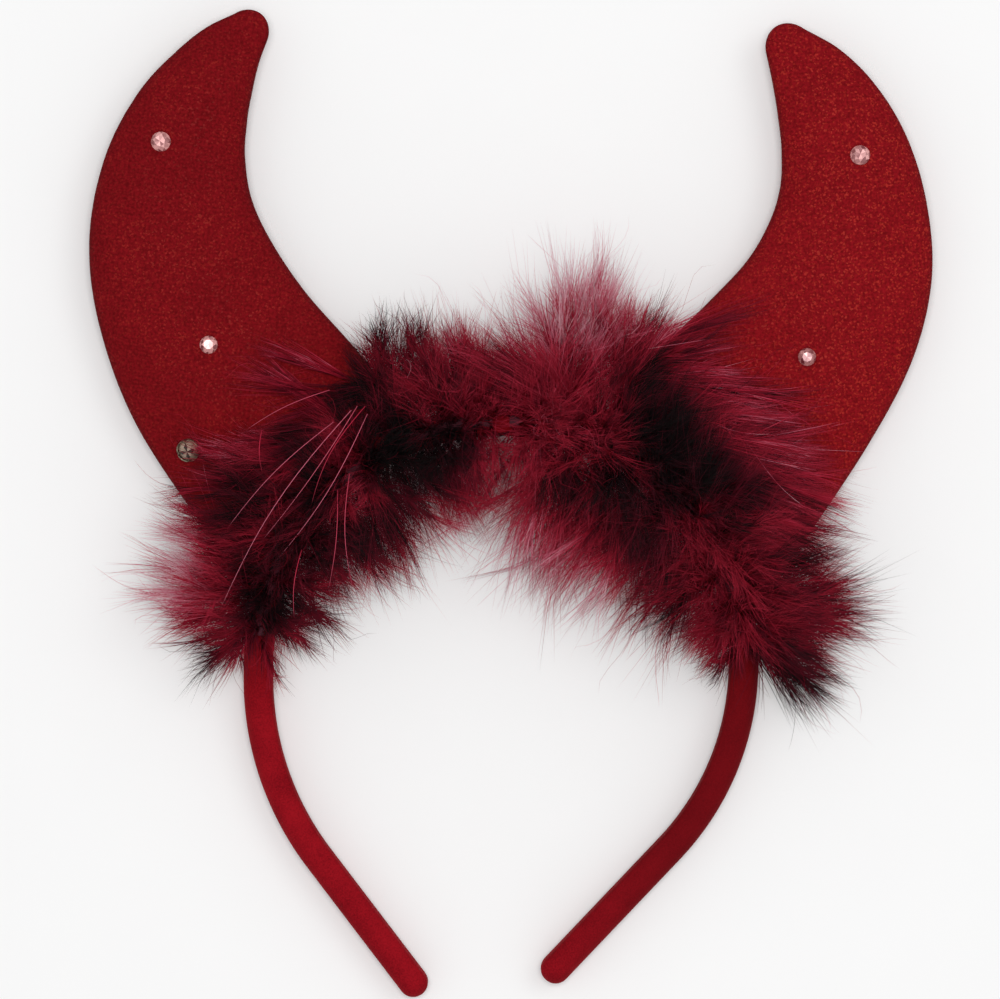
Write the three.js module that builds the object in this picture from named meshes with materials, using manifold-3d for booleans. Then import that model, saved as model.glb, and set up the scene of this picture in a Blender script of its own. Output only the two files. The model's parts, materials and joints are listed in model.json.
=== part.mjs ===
// A devil horns headband lying on its back: a velvet-covered band, two stuffed horns that sit astride it,
// faceted stones on the horns, and a feather trim in two strips that meet over the crown.
// Left and right are as seen from the front. Lengths are in millimetres, angles in degrees.
// The pieces are made in a working frame whose origin is the centre of the crown's arc,
// with X to the right, Y up and Z to the front.

import * as THREE from "three";
import { mergeVertices } from "three/addons/utils/BufferGeometryUtils.js";
import Module from "manifold-3d";

const wasm = await Module();
wasm.setup();

// Sizes of the band
const crownRadius = 62; // middle line of the arc over the head
const bandThickness = 7.4; // as seen from the front
const bandDepth = 11; // front to back
const tailLength = 40; // straight stretch at the end of a leg

// Sizes of the horns
const hornAngle = 43; // where a horn's foot sits on the crown, up from the band's side
const hornReach = 94; // how far a horn stands out from the band's middle line
const hornLean = 78; // how far its tip leans in over the head
const hornWidth = 59; // across the foot
const hornThickness = 17; // front to back where it is fullest
const hornHem = 1; // how far its hem stops short of the band's inner face
const hornFullness = 2.3; // exponent of the rounded section, 2 for an ellipse
const tipRounding = 0.72; // how far the rounded tip stands out, as a share of its half width

// Sizes of the stones
const stoneDiameter = 5.1;
const stoneHeight = 2.3;

// Sizes of the feather trim
const cordRadius = 1.5; // the cord that the feathers are bound to
const plumeLength = 30; // of a middling feather
const lockRadius = 6.6; // of a lock of feathers where it is thickest
const lockPitch = 10.5; // between two fans of locks along the cord

// Fit
const clearance = 0.3; // between two pieces that touch

// How finely round forms are stepped
const crownSteps = 31; // odd, so that one flat step lies across the top
const bendSteps = 8;
const hornSteps = 18;
const hornSides = 16;
const endSteps = 4;
const headDiscSides = 72;
const cordSides = 6;
const lockSides = 5;
const stoneSides = 8;

// The legs below the crown: a straight drop, a bend towards the middle, and a straight tail.
// drop and tail are shares of tailLength, bend is a share of crownRadius, turn is the bend's angle.
const legs = {
  left: { drop: 0.1, bend: 1.22, turn: 37.2, tail: 1 },
  right: { drop: 0, bend: 1.11, turn: 43.5, tail: 1.06 },
};

// Half of the band's section, from its flat inner face to its crowned outer face.
// out is a share of half bandThickness, deep a share of half bandDepth.
const bandSection = [
  { out: -1, deep: 0.62 },
  { out: -0.72, deep: 0.9 },
  { out: -0.1, deep: 1 },
  { out: 0.5, deep: 0.86 },
  { out: 0.86, deep: 0.54 },
  { out: 1, deep: 0.18 },
];

// Sections of each horn from foot to tip, evenly spaced along it: out is a share of hornReach, lean of
// hornLean, width of hornWidth and thick of hornThickness, and turn is how far the section has turned inwards.
const hornSections = {
  left: [
    { out: -0.1, lean: -0.025, turn: 5, width: 1.01, thick: 0.98 },
    { out: 0.185, lean: 0.045, turn: 4, width: 1.005, thick: 1 },
    { out: 0.464, lean: 0.107, turn: 9, width: 0.934, thick: 1 },
    { out: 0.673, lean: 0.205, turn: 18, width: 0.836, thick: 0.97 },
    { out: 0.82, lean: 0.326, turn: 31, width: 0.731, thick: 0.92 },
    { out: 0.926, lean: 0.488, turn: 47, width: 0.608, thick: 0.84 },
    { out: 0.983, lean: 0.649, turn: 62, width: 0.487, thick: 0.74 },
    { out: 1.006, lean: 0.778, turn: 73, width: 0.376, thick: 0.62 },
    { out: 1.017, lean: 0.879, turn: 80, width: 0.283, thick: 0.48 },
    { out: 1.015, lean: 0.969, turn: 84, width: 0.186, thick: 0.36 },
  ],
  right: [
    { out: -0.085, lean: -0.05, turn: 4, width: 1.055, thick: 0.98 },
    { out: 0.196, lean: 0.012, turn: 2, width: 1.025, thick: 1 },
    { out: 0.445, lean: 0.054, turn: 6, width: 0.932, thick: 1 },
    { out: 0.645, lean: 0.112, turn: 16, width: 0.84, thick: 0.97 },
    { out: 0.798, lean: 0.208, turn: 27, width: 0.75, thick: 0.92 },
    { out: 0.907, lean: 0.335, turn: 40, width: 0.643, thick: 0.84 },
    { out: 0.984, lean: 0.482, turn: 54, width: 0.547, thick: 0.76 },
    { out: 1.028, lean: 0.621, turn: 65, width: 0.448, thick: 0.65 },
    { out: 1.05, lean: 0.746, turn: 74, width: 0.334, thick: 0.5 },
    { out: 1.056, lean: 0.858, turn: 79, width: 0.2, thick: 0.36 },
  ],
};

// The stones: along is a share of the horn's length from foot to tip, inward a share of its half width
// towards the other horn, size a share of stoneDiameter.
const stones = [
  { name: "stone_left_top", side: "left", along: 0.58, inward: -0.23, size: 1 },
  { name: "stone_left_middle", side: "left", along: 0.242, inward: -0.02, size: 0.9 },
  { name: "stone_left_low", side: "left", along: 0.168, inward: -0.69, size: 1.2 },
  { name: "stone_right_top", side: "right", along: 0.634, inward: -0.16, size: 1 },
  { name: "stone_right_middle", side: "right", along: 0.256, inward: -0.04, size: 0.9 },
];

// A stone's outline from its flat back up to its table: out is a share of its radius, up of stoneHeight,
// twist is in half facets.
const stoneRings = [
  { out: 0.94, up: 0, twist: 0 },
  { out: 1, up: 0.28, twist: 0 },
  { out: 0.8, up: 0.7, twist: 1 },
  { out: 0.52, up: 1, twist: 2 },
];

// The feather trim, a row for each place along its cord from the low end to the crown, evenly spaced.
// over is how far the feathers reach away from the head, rise to the front and under into the arch, as
// shares of plumeLength. sweep turns them towards the low end, and tuck lets the fan reach round the back.
const trims = {
  left: {
    lowAngle: 7,
    highAngle: 88,
    rows: [
      { over: 0.9, rise: 0.66, under: 0.6, sweep: 40, tuck: 28 },
      { over: 1.2, rise: 0.8, under: 0.76, sweep: 8, tuck: 14 },
      { over: 0.92, rise: 0.84, under: 0.8, sweep: 6, tuck: 0 },
      { over: 0.84, rise: 0.84, under: 0.88, sweep: 0, tuck: 0 },
      { over: 0.98, rise: 0.84, under: 0.92, sweep: -6, tuck: 0 },
      { over: 1.04, rise: 0.8, under: 0.82, sweep: -2, tuck: 18 },
      { over: 0.88, rise: 0.76, under: 0.78, sweep: 0, tuck: 28 },
    ],
  },
  right: {
    lowAngle: 5,
    highAngle: 88,
    rows: [
      { over: 1.14, rise: 0.74, under: 0.62, sweep: 42, tuck: 28 },
      { over: 1.3, rise: 0.86, under: 0.84, sweep: 12, tuck: 14 },
      { over: 1.12, rise: 0.88, under: 1.14, sweep: 2, tuck: 0 },
      { over: 1.16, rise: 0.88, under: 1.3, sweep: 0, tuck: 0 },
      { over: 1.24, rise: 0.88, under: 1.3, sweep: -2, tuck: 0 },
      { over: 1.36, rise: 0.88, under: 1.2, sweep: -4, tuck: 18 },
      { over: 0.96, rise: 0.8, under: 0.94, sweep: 0, tuck: 28 },
    ],
  },
};

// The angles of a fan of locks round the cord, as shares of the way from the outer side to the inner one.
// Neighbouring fans take turns, so that the locks of one lie between those of the next.
const lockFans = [
  [0, 0.25, 0.5, 0.75, 1],
  [0.125, 0.375, 0.625, 0.875],
];
const backTuck = 24; // how far round the back every fan reaches on its inner side
const lockCurl = 0.16; // how far a lock's tip curls along the cord, as a share of its length

// A lock's outline from its root towards its point: along is a share of its length, size of its radius.
const lockRings = [
  { along: 0, size: 0.5 },
  { along: 0.36, size: 1 },
  { along: 0.74, size: 0.84 },
];

// Colours
const looks = {
  band: { color: 0x8e1420, roughness: 0.95, metalness: 0 },
  horn: { color: 0x941520, roughness: 0.85, metalness: 0 },
  stone: { color: 0xf2d9dc, roughness: 0.08, metalness: 0.2 },
  feather: { color: 0x6f1430, roughness: 0.9, metalness: 0 },
};

const front = new THREE.Vector3(0, 0, 1);
const sideSign = { left: -1, right: 1 };

const rad = THREE.MathUtils.degToRad;

// A point that lies off another by lengths along directions, given as pairs
function offset(point, ...moves) {
  const moved = point.clone();
  for (const [direction, length] of moves) moved.addScaledVector(direction, length);
  return moved;
}

// The values of a table's columns at a share of the way down it, on a smooth curve through its rows
function tableAt(rows, share) {
  const values = {};
  for (const column of Object.keys(rows[0])) {
    const points = rows.map((row) => new THREE.Vector3(row[column], 0, 0));
    const curve = new THREE.CatmullRomCurve3(points, false, "catmullrom", 0.5);
    values[column] = curve.getPoint(share).x;
  }
  return values;
}

// A closed skin over rings of equally many points, drawn in to a point at each end.
// Each ring runs anticlockwise as seen from further along the skin.
function closedLoft(rings, startPoint, endPoint) {
  const sides = rings[0].length;
  const points = [...rings.flat(), startPoint, endPoint];
  const start = points.length - 2;
  const end = points.length - 1;
  const last = (rings.length - 1) * sides;
  const faces = [];
  for (let k = 0; k < sides; k++) {
    const next = (k + 1) % sides;
    faces.push(start, next, k);
    faces.push(end, last + k, last + next);
    for (let low = 0; low < last; low += sides) {
      const high = low + sides;
      faces.push(low + k, low + next, high + k);
      faces.push(low + next, high + next, high + k);
    }
  }
  return new THREE.BufferGeometry().setFromPoints(points).setIndex(faces);
}

// A geometry as a solid for joins and cuts
function toSolid(geometry) {
  const bare = geometry.clone();
  bare.deleteAttribute("normal");
  bare.deleteAttribute("uv");
  const merged = mergeVertices(bare, 1e-4);
  const mesh = new wasm.Mesh({
    numProp: 3,
    vertProperties: new Float32Array(merged.attributes.position.array),
    triVerts: new Uint32Array(merged.index.array),
  });
  return new wasm.Manifold(mesh);
}

// A solid as a geometry
function toGeometry(solid) {
  const mesh = solid.getMesh();
  return new THREE.BufferGeometry()
    .setAttribute("position", new THREE.BufferAttribute(mesh.vertProperties, mesh.numProp))
    .setIndex(new THREE.BufferAttribute(mesh.triVerts, 1));
}

function namedMesh(name, geometry, look) {
  geometry.computeVertexNormals();
  const mesh = new THREE.Mesh(geometry, new THREE.MeshStandardMaterial(look));
  mesh.name = name;
  return mesh;
}

// The direction away from the head at an angle up from the band's side
function outwardAt(side, angle) {
  return new THREE.Vector3(sideSign[side] * Math.cos(rad(angle)), Math.sin(rad(angle)), 0);
}

// The direction along the crown towards a side's leg, at an angle up from that side
function downwardAt(side, angle) {
  return new THREE.Vector3(sideSign[side] * Math.sin(rad(angle)), -Math.cos(rad(angle)), 0);
}

// The sections of a rounded end whose sides already close in at an angle: along is a share of how far the
// end stands out, size a share of the section's size
function roundEnd(closing) {
  const rows = [];
  for (let step = 1; step < endSteps; step++) {
    const angle = closing + ((Math.PI / 2 - closing) * step) / endSteps;
    const along = (Math.sin(angle) - Math.sin(closing)) / (1 - Math.sin(closing));
    rows.push({ along, size: Math.cos(angle) / Math.cos(closing) });
  }
  return rows;
}

// Stations down one leg from the crown's end to its tip: a point, the direction down the leg and a size
function legStations(side) {
  const leg = legs[side];
  const sign = sideSign[side];
  const bendRadius = leg.bend * crownRadius;
  const heading = (angle) => new THREE.Vector3(-sign * Math.sin(rad(angle)), -Math.cos(rad(angle)), 0);
  const bendStart = new THREE.Vector3(sign * crownRadius, -leg.drop * tailLength, 0);
  const bendCentre = offset(bendStart, [new THREE.Vector3(-sign, 0, 0), bendRadius]);
  const stations = [];
  for (let step = leg.drop > 0 ? 0 : 1; step <= bendSteps; step++) {
    const angle = (leg.turn * step) / bendSteps;
    const at = offset(bendCentre, [outwardAt(side, -angle), bendRadius]);
    stations.push({ at, along: heading(angle), size: 1 });
  }
  const along = heading(leg.turn);
  const tailEnd = offset(stations.at(-1).at, [along, leg.tail * tailLength]);
  stations.push({ at: tailEnd, along, size: 1 });
  for (const row of roundEnd(0)) {
    const at = offset(tailEnd, [along, (row.along * bandThickness) / 2]);
    stations.push({ at, along, size: row.size });
  }
  return { stations, tip: offset(tailEnd, [along, bandThickness / 2]) };
}

// The band from its left tip over the crown to its right tip, grown all round by a margin
function bandGeometry(margin) {
  const left = legStations("left");
  const right = legStations("right");
  const crown = [];
  for (let step = 0; step <= crownSteps; step++) {
    const angle = 180 - (180 * step) / crownSteps;
    const at = outwardAt("right", angle).multiplyScalar(crownRadius);
    crown.push({ at, along: downwardAt("right", angle), size: 1 });
  }
  const climbing = left.stations.reverse().map((s) => ({ ...s, along: s.along.clone().negate() }));
  const stations = [...climbing, ...crown, ...right.stations];
  const outline = [
    ...bandSection.toReversed().map((row) => ({ ...row, side: 1 })),
    ...bandSection.map((row) => ({ ...row, side: -1 })),
  ];
  const rings = stations.map(({ at, along, size }) => {
    const out = front.clone().cross(along);
    return outline.map((row) =>
      offset(
        at,
        [out, row.out * size * (bandThickness / 2 + margin)],
        [front, row.side * row.deep * size * (bandDepth / 2 + margin)],
      ),
    );
  });
  return closedLoft(rings, left.tip, right.tip);
}

// A horn's section at a share of the way from foot to tip: its middle, directions and half sizes
function hornSection(side, share) {
  const row = tableAt(hornSections[side], share);
  const out = outwardAt(side, hornAngle);
  const inward = downwardAt(side, hornAngle).negate();
  const middle = offset(
    out.clone().multiplyScalar(crownRadius),
    [out, row.out * hornReach],
    [inward, row.lean * hornLean],
  );
  const along = out.clone().multiplyScalar(Math.cos(rad(row.turn)));
  along.addScaledVector(inward, Math.sin(rad(row.turn)));
  return {
    middle,
    along,
    across: front.clone().cross(along),
    halfWidth: (row.width * hornWidth) / 2,
    halfThick: (row.thick * hornThickness) / 2,
  };
}

// One coordinate of the horn's rounded section from a cosine or sine
function rounded(value) {
  return Math.sign(value) * Math.abs(value) ** (2 / hornFullness);
}

// The corners of a horn's section, grown by a margin
function hornRing({ middle, across, halfWidth, halfThick }, margin) {
  const ring = [];
  for (let k = 0; k < hornSides; k++) {
    const angle = (2 * Math.PI * k) / hornSides;
    ring.push(
      offset(
        middle,
        [across, rounded(Math.cos(angle)) * (halfWidth + margin)],
        [front, rounded(Math.sin(angle)) * (halfThick + margin)],
      ),
    );
  }
  return ring;
}

// A whole horn, with its foot reaching in past the band, grown all round by a margin
function hornBody(side, margin) {
  const sections = [];
  for (let step = 0; step <= hornSteps; step++) sections.push(hornSection(side, step / hornSteps));
  const foot = sections[0];
  const [before, tip] = sections.slice(-2);
  const closing = Math.atan2(before.halfWidth - tip.halfWidth, before.middle.distanceTo(tip.middle));
  const reach = tipRounding * tip.halfWidth;
  for (const row of roundEnd(closing)) {
    sections.push({
      ...tip,
      middle: offset(tip.middle, [tip.along, row.along * reach]),
      halfWidth: row.size * tip.halfWidth,
      halfThick: row.size * tip.halfThick,
    });
  }
  const rings = sections.map((section) => hornRing(section, margin));
  return closedLoft(rings, foot.middle, offset(tip.middle, [tip.along, reach + margin]));
}

// The space for the head, up to the horns' hems
function headSpace() {
  const radius = crownRadius - bandThickness / 2 + hornHem;
  return new THREE.CylinderGeometry(radius, radius, 2 * hornThickness, headDiscSides).rotateX(Math.PI / 2);
}

// A horn sits astride the band, with its hem just short of the band's inner face
function hornGeometry(side) {
  const body = toSolid(hornBody(side, 0));
  return toGeometry(body.subtract(toSolid(headSpace())).subtract(toSolid(bandGeometry(clearance))));
}

// A flat-backed stone with its table up along Z
function stoneGeometry(radius) {
  const rings = stoneRings.map((row) => {
    const ring = [];
    for (let k = 0; k < stoneSides; k++) {
      const angle = (2 * Math.PI * (k + row.twist / 2)) / stoneSides;
      const reach = row.out * radius;
      ring.push(new THREE.Vector3(reach * Math.cos(angle), reach * Math.sin(angle), row.up * stoneHeight));
    }
    return ring;
  });
  return closedLoft(rings, new THREE.Vector3(0, 0, 0), new THREE.Vector3(0, 0, stoneHeight));
}

// A stone lies flat on its horn's front, square to the face that it sits on
function stoneMesh(stone, horn) {
  const section = hornSection(stone.side, stone.along);
  const inwards = sideSign[stone.side] * stone.inward * section.halfWidth;
  const above = offset(section.middle, [section.across, inwards], [front, hornThickness]);
  const seat = new THREE.Raycaster(above, front.clone().negate()).intersectObject(horn)[0];
  const mesh = namedMesh(stone.name, stoneGeometry((stone.size * stoneDiameter) / 2), looks.stone);
  mesh.quaternion.setFromUnitVectors(front, seat.face.normal);
  mesh.position.copy(offset(seat.point, [seat.face.normal, clearance]));
  return mesh;
}

// The height of the trim's cord: on the band's front, and up over the horn's foot
function cordHeight(angle) {
  const share = Math.abs((rad(angle - hornAngle) * crownRadius) / (hornWidth / 2));
  const hornFront = share < 1 ? (hornThickness / 2) * (1 - share ** hornFullness) ** (1 / hornFullness) : 0;
  return Math.max(bandDepth / 2, hornFront) + clearance + cordRadius;
}

// A place on the trim's cord: its middle and the directions round it
function cordPlace(side, angle) {
  const out = outwardAt(side, angle);
  const at = offset(out.clone().multiplyScalar(crownRadius), [front, cordHeight(angle)]);
  return { at, out, down: downwardAt(side, angle) };
}

// The cord, in steps as short as the fans of locks stand apart
function cordGeometry(side, places) {
  const rings = places.map(({ at, out }) => {
    const ring = [];
    for (let k = 0; k < cordSides; k++) {
      const angle = (2 * Math.PI * k) / cordSides;
      const across = Math.cos(angle) * cordRadius;
      ring.push(offset(at, [out, across * sideSign[side]], [front, -Math.sin(angle) * cordRadius]));
    }
    return ring;
  });
  return closedLoft(rings, places[0].at, places.at(-1).at);
}

// A lock of feathers: a pointed spindle that curls a little along the cord
function lockGeometry(root, direction, curl, length) {
  const radius = lockRadius * (0.5 + (0.5 * length) / plumeLength);
  const first = curl.clone().cross(direction).normalize();
  const second = direction.clone().cross(first);
  const bent = (share) => offset(root, [direction, share * length], [curl, lockCurl * length * share ** 2]);
  const rings = lockRings.map((row) => {
    const ring = [];
    for (let k = 0; k < lockSides; k++) {
      const angle = (2 * Math.PI * k) / lockSides;
      ring.push(
        offset(
          bent(row.along),
          [first, Math.cos(angle) * row.size * radius],
          [second, Math.sin(angle) * row.size * radius],
        ),
      );
    }
    return ring;
  });
  return closedLoft(rings, root, bent(1));
}

// A fan of locks round the cord at one place
function lockFan(place, row, index) {
  return lockFans[index % lockFans.length].map((share, k) => {
    const angle = rad(-row.tuck + share * (180 + backTuck + row.tuck));
    const side = Math.cos(angle) > 0 ? row.over : row.under;
    const length = plumeLength * (side * Math.cos(angle) ** 2 + row.rise * Math.sin(angle) ** 2);
    const direction = place.out.clone().multiplyScalar(Math.cos(angle) * Math.cos(rad(row.sweep)));
    direction.addScaledVector(front, Math.sin(angle) * Math.cos(rad(row.sweep)));
    direction.addScaledVector(place.down, Math.sin(rad(row.sweep)));
    const curl = place.down.clone().multiplyScalar((index + k) % 2 ? 1 : -1);
    return lockGeometry(place.at, direction, curl, length);
  });
}

// The half of space beyond the crown's middle plane, where the other strip lies
function otherHalf(side) {
  const size = 4 * (crownRadius + hornReach);
  const box = new THREE.BoxGeometry(size, size, size);
  return box.translate(-sideSign[side] * (size / 2 - clearance / 2), 0, 0);
}

// A strip of the trim: the cord with its locks, laid on the band and the horn's foot
function trimGeometry(side) {
  const { lowAngle, highAngle, rows } = trims[side];
  const fans = Math.round((rad(highAngle - lowAngle) * crownRadius) / lockPitch);
  const shares = Array.from({ length: fans + 1 }, (_, index) => index / fans);
  const places = shares.map((share) => cordPlace(side, lowAngle + share * (highAngle - lowAngle)));
  const locks = places.flatMap((place, index) => lockFan(place, tableAt(rows, shares[index]), index));
  const strip = locks.reduce((joined, lock) => joined.add(toSolid(lock)), toSolid(cordGeometry(side, places)));
  const carriers = [bandGeometry(clearance), hornBody(side, clearance), otherHalf(side)];
  return toGeometry(carriers.reduce((left, carrier) => left.subtract(toSolid(carrier)), strip));
}

// The lowest corner of a mesh once it is tilted about X
function lowestCorner(mesh, tilt) {
  const positions = mesh.geometry.getAttribute("position");
  const height = ({ y, z }) => y * Math.sin(tilt) + z * Math.cos(tilt);
  let lowest = null;
  for (let i = 0; i < positions.count; i++) {
    const corner = new THREE.Vector3().fromBufferAttribute(positions, i);
    if (!lowest || height(corner) < height(lowest)) lowest = corner;
  }
  return lowest;
}

// The tilt at which the band's tips and a horn's back touch the ground together
function restingTilt(band, horn) {
  let tilt = 0;
  for (let pass = 0; pass < 4; pass++) {
    const tip = lowestCorner(band, tilt + rad(0.1));
    const back = lowestCorner(horn, tilt);
    tilt = Math.atan2(tip.z - back.z, back.y - tip.y);
  }
  return tilt;
}

const band = namedMesh("headband", bandGeometry(0), looks.band);
const horns = {
  left: namedMesh("horn_left", hornGeometry("left"), looks.horn),
  right: namedMesh("horn_right", hornGeometry("right"), looks.horn),
};

// The whole thing lies on the horns' backs and the band's tips
const lying = new THREE.Group();
lying.add(band, horns.left, horns.right);
for (const stone of stones) lying.add(stoneMesh(stone, horns[stone.side]));
lying.add(namedMesh("feather_trim_left", trimGeometry("left"), looks.feather));
lying.add(namedMesh("feather_trim_right", trimGeometry("right"), looks.feather));
lying.rotation.x = restingTilt(band, horns.left);

// The origin is at the bottom of the whole thing's box, in the middle
const headband = new THREE.Group();
headband.add(lying);
const box = new THREE.Box3().setFromObject(headband, true);
lying.position.set(-(box.min.x + box.max.x) / 2, -(box.min.y + box.max.y) / 2, -box.min.z);

export default headband;
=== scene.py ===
"""The look of a devil horns headband that lies on its back: a velvet band, two stuffed horns of glittery
plush, faceted stones, and a down feather trim in two strips that meet over the crown.

Lengths are in metres, left and right are as seen from the front. Each shape is worked out standing in the
crown's own frame, whose origin is the centre of the crown's arc, with X to the right, Y up and Z to the
front, and is then laid down where the band lies in the model's frame."""

import json
import math

import bpy
import numpy as np
from bpy.props import FloatProperty, FloatVectorProperty, IntProperty, PointerProperty
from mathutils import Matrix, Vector


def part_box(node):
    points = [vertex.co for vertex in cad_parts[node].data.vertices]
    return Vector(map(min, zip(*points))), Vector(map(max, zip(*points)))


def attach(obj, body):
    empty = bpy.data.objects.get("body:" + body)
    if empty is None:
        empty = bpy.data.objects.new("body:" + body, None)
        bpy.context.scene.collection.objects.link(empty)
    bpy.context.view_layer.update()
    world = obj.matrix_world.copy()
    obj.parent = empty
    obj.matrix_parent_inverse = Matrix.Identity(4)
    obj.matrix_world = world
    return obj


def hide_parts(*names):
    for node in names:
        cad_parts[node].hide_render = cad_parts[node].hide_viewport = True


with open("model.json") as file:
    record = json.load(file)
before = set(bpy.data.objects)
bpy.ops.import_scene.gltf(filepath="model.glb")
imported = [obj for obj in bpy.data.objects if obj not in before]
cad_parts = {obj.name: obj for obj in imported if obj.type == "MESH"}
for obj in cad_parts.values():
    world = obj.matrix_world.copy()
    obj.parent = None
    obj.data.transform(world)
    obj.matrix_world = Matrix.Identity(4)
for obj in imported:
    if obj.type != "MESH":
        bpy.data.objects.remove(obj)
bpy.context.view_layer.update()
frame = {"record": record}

bl_info = {
    "name": "Devil Horns Headband",
    "version": (1, 0, 0),
    "blender": (4, 5, 0),
    "location": "3D View > Sidebar > Headband",
    "description": "Velvet band, glittery plush horns, stones and a down feather trim",
    "category": "Add Mesh",
}

MM = 0.001
FRONT = np.array([0.0, 0.0, 1.0])
SIGN = {"left": -1.0, "right": 1.0}
SIDES = tuple(SIGN)
MAP_NAME = "OFBake"


def table(columns, *rows):
    """Rows of numbers as one array for each named column."""
    return dict(zip(columns.split(), np.array(rows, float).T))


# The legs below the crown. drop and tail are shares of the tail's length, bend is a share of the crown's
# radius, turn is the bend's angle.
LEGS = {
    "left": {"drop": 0.1, "bend": 1.22, "turn": 37.2, "tail": 1.0},
    "right": {"drop": 0.0, "bend": 1.11, "turn": 43.5, "tail": 1.06},
}

# Half of the band's section, from its flat inside to its crowned outside, as shares of its half sizes. The
# groove runs along the middle of the inside, and its width is such a share too.
BAND_SECTION = table("out deep", (-1, 0.62), (-0.72, 0.9), (-0.1, 1), (0.5, 0.86), (0.86, 0.54), (1, 0.18))
BAND_INSIDE = -0.8
GROOVE_WIDTH = 0.13

# How finely the surfaces are drawn: points round a section and the step along for the band, rows along and
# points round for the horns and the cord. The ground is worked out on finer ones. End rows round off the
# ends of the band and the tips of the horns.
BAND_GRAIN = (44, 1.25 * MM)
SLIT_GRAIN = (32, 2 * MM)
OUTLINE_GRAIN = (24, 2 * MM)
HORN_GRAIN = (132, 108)
CORD_GRAIN = (180, 12)
HEAD_AROUND = 240
GROUND_HORN_GRAIN = (420, 360)
GROUND_BAND_AROUND = 64
BAND_END_ROWS = 7
HORN_END_ROWS = 13

# Sections of each horn from foot to tip, evenly spaced: out is a share of the reach, lean of the lean,
# width and thick of the width and thickness, and turn is how far the section has turned inwards.
HORN_SECTIONS = {
    "left": table(
        "out lean turn width thick",
        (-0.1, -0.025, 5, 1.01, 0.98),
        (0.185, 0.045, 4, 1.005, 1),
        (0.464, 0.107, 9, 0.934, 1),
        (0.673, 0.205, 18, 0.836, 0.97),
        (0.82, 0.326, 31, 0.731, 0.92),
        (0.926, 0.488, 47, 0.608, 0.84),
        (0.983, 0.649, 62, 0.487, 0.74),
        (1.006, 0.778, 73, 0.376, 0.62),
        (1.017, 0.879, 80, 0.283, 0.48),
        (1.015, 0.969, 84, 0.186, 0.36),
    ),
    "right": table(
        "out lean turn width thick",
        (-0.085, -0.05, 4, 1.055, 0.98),
        (0.196, 0.012, 2, 1.025, 1),
        (0.445, 0.054, 6, 0.932, 1),
        (0.645, 0.112, 16, 0.84, 0.97),
        (0.798, 0.208, 27, 0.75, 0.92),
        (0.907, 0.335, 40, 0.643, 0.84),
        (0.984, 0.482, 54, 0.547, 0.76),
        (1.028, 0.621, 65, 0.448, 0.65),
        (1.05, 0.746, 74, 0.334, 0.5),
        (1.056, 0.858, 79, 0.2, 0.36),
    ),
}

# Small forms on a horn. The seam pulls in the edge over its width. Puckers leave it as waves of a length
# that drifts, and fade away over their reach. The stuffing is uneven in long low waves. Crowding draws the
# points round a section together where it turns fastest.
SEAM_WIDTH = 0.9 * MM
SEAM_SIDE = 0.6
PUCKER_LENGTH = 5.2 * MM
PUCKER_DRIFT = 1.4
PUCKER_DRIFT_LENGTH = 19 * MM
PUCKER_STAGGER = 1.7 * MM
PUCKER_REACH = 5 * MM
PUCKER_CLEARANCE = 1.6 * MM
STUFFING_LENGTH = 24 * MM
STUFFING_SEED = 3
# Shade is painted on a horn's pile near its edge as seen from the front, fading inwards over this width.
EDGE_WIDTH = 1.0 * MM
CROWDING = 0.3

# The room that a horn's slit leaves round the band, and the angle from which a cut edge is sharp.
SLIT_MARGIN = 0.3 * MM
SHARP_ANGLE = math.radians(50)

# The stones. size is a share of the diameter, gleam is how bright the reflections painted on its facets
# are, turn spins it on its back, and cup tells whether it sits in a metal cup, where it is smaller by a
# share. The facets of a plain stone are painted bright or dark as reflections, at levels between two
# drawn from a seed. Glue lifts a stone off the cloth.
STONES = {
    "stone_left_top": {"horn": "left", "size": 1.0, "gleam": 0.8, "turn": 10, "cup": False},
    "stone_left_middle": {"horn": "left", "size": 0.9, "gleam": 1.0, "turn": 25, "cup": False},
    "stone_left_low": {"horn": "left", "size": 1.2, "gleam": 0.7, "turn": 0, "cup": True},
    "stone_right_top": {"horn": "right", "size": 1.0, "gleam": 0.7, "turn": 5, "cup": False},
    "stone_right_middle": {"horn": "right", "size": 0.9, "gleam": 0.5, "turn": 30, "cup": False},
}
CUPPED_SHARE = 0.84
GLINTS = (0.15, 1.0)
GLINT_SEED = 5
GLUE = 0.1 * MM

# The cup's rim: how far out and up its middle lies and how far its section reaches each way, as shares of
# the stone's radius and height. The claws lean in and rise by the last two over their width.
CUP_OUT, CUP_WALL = 1.07, 0.1
CUP_UP, CUP_RISE = 0.34, 0.3
CLAW_WIDTH = 0.3
CLAW_IN, CLAW_UP = 0.24, 0.34

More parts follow.
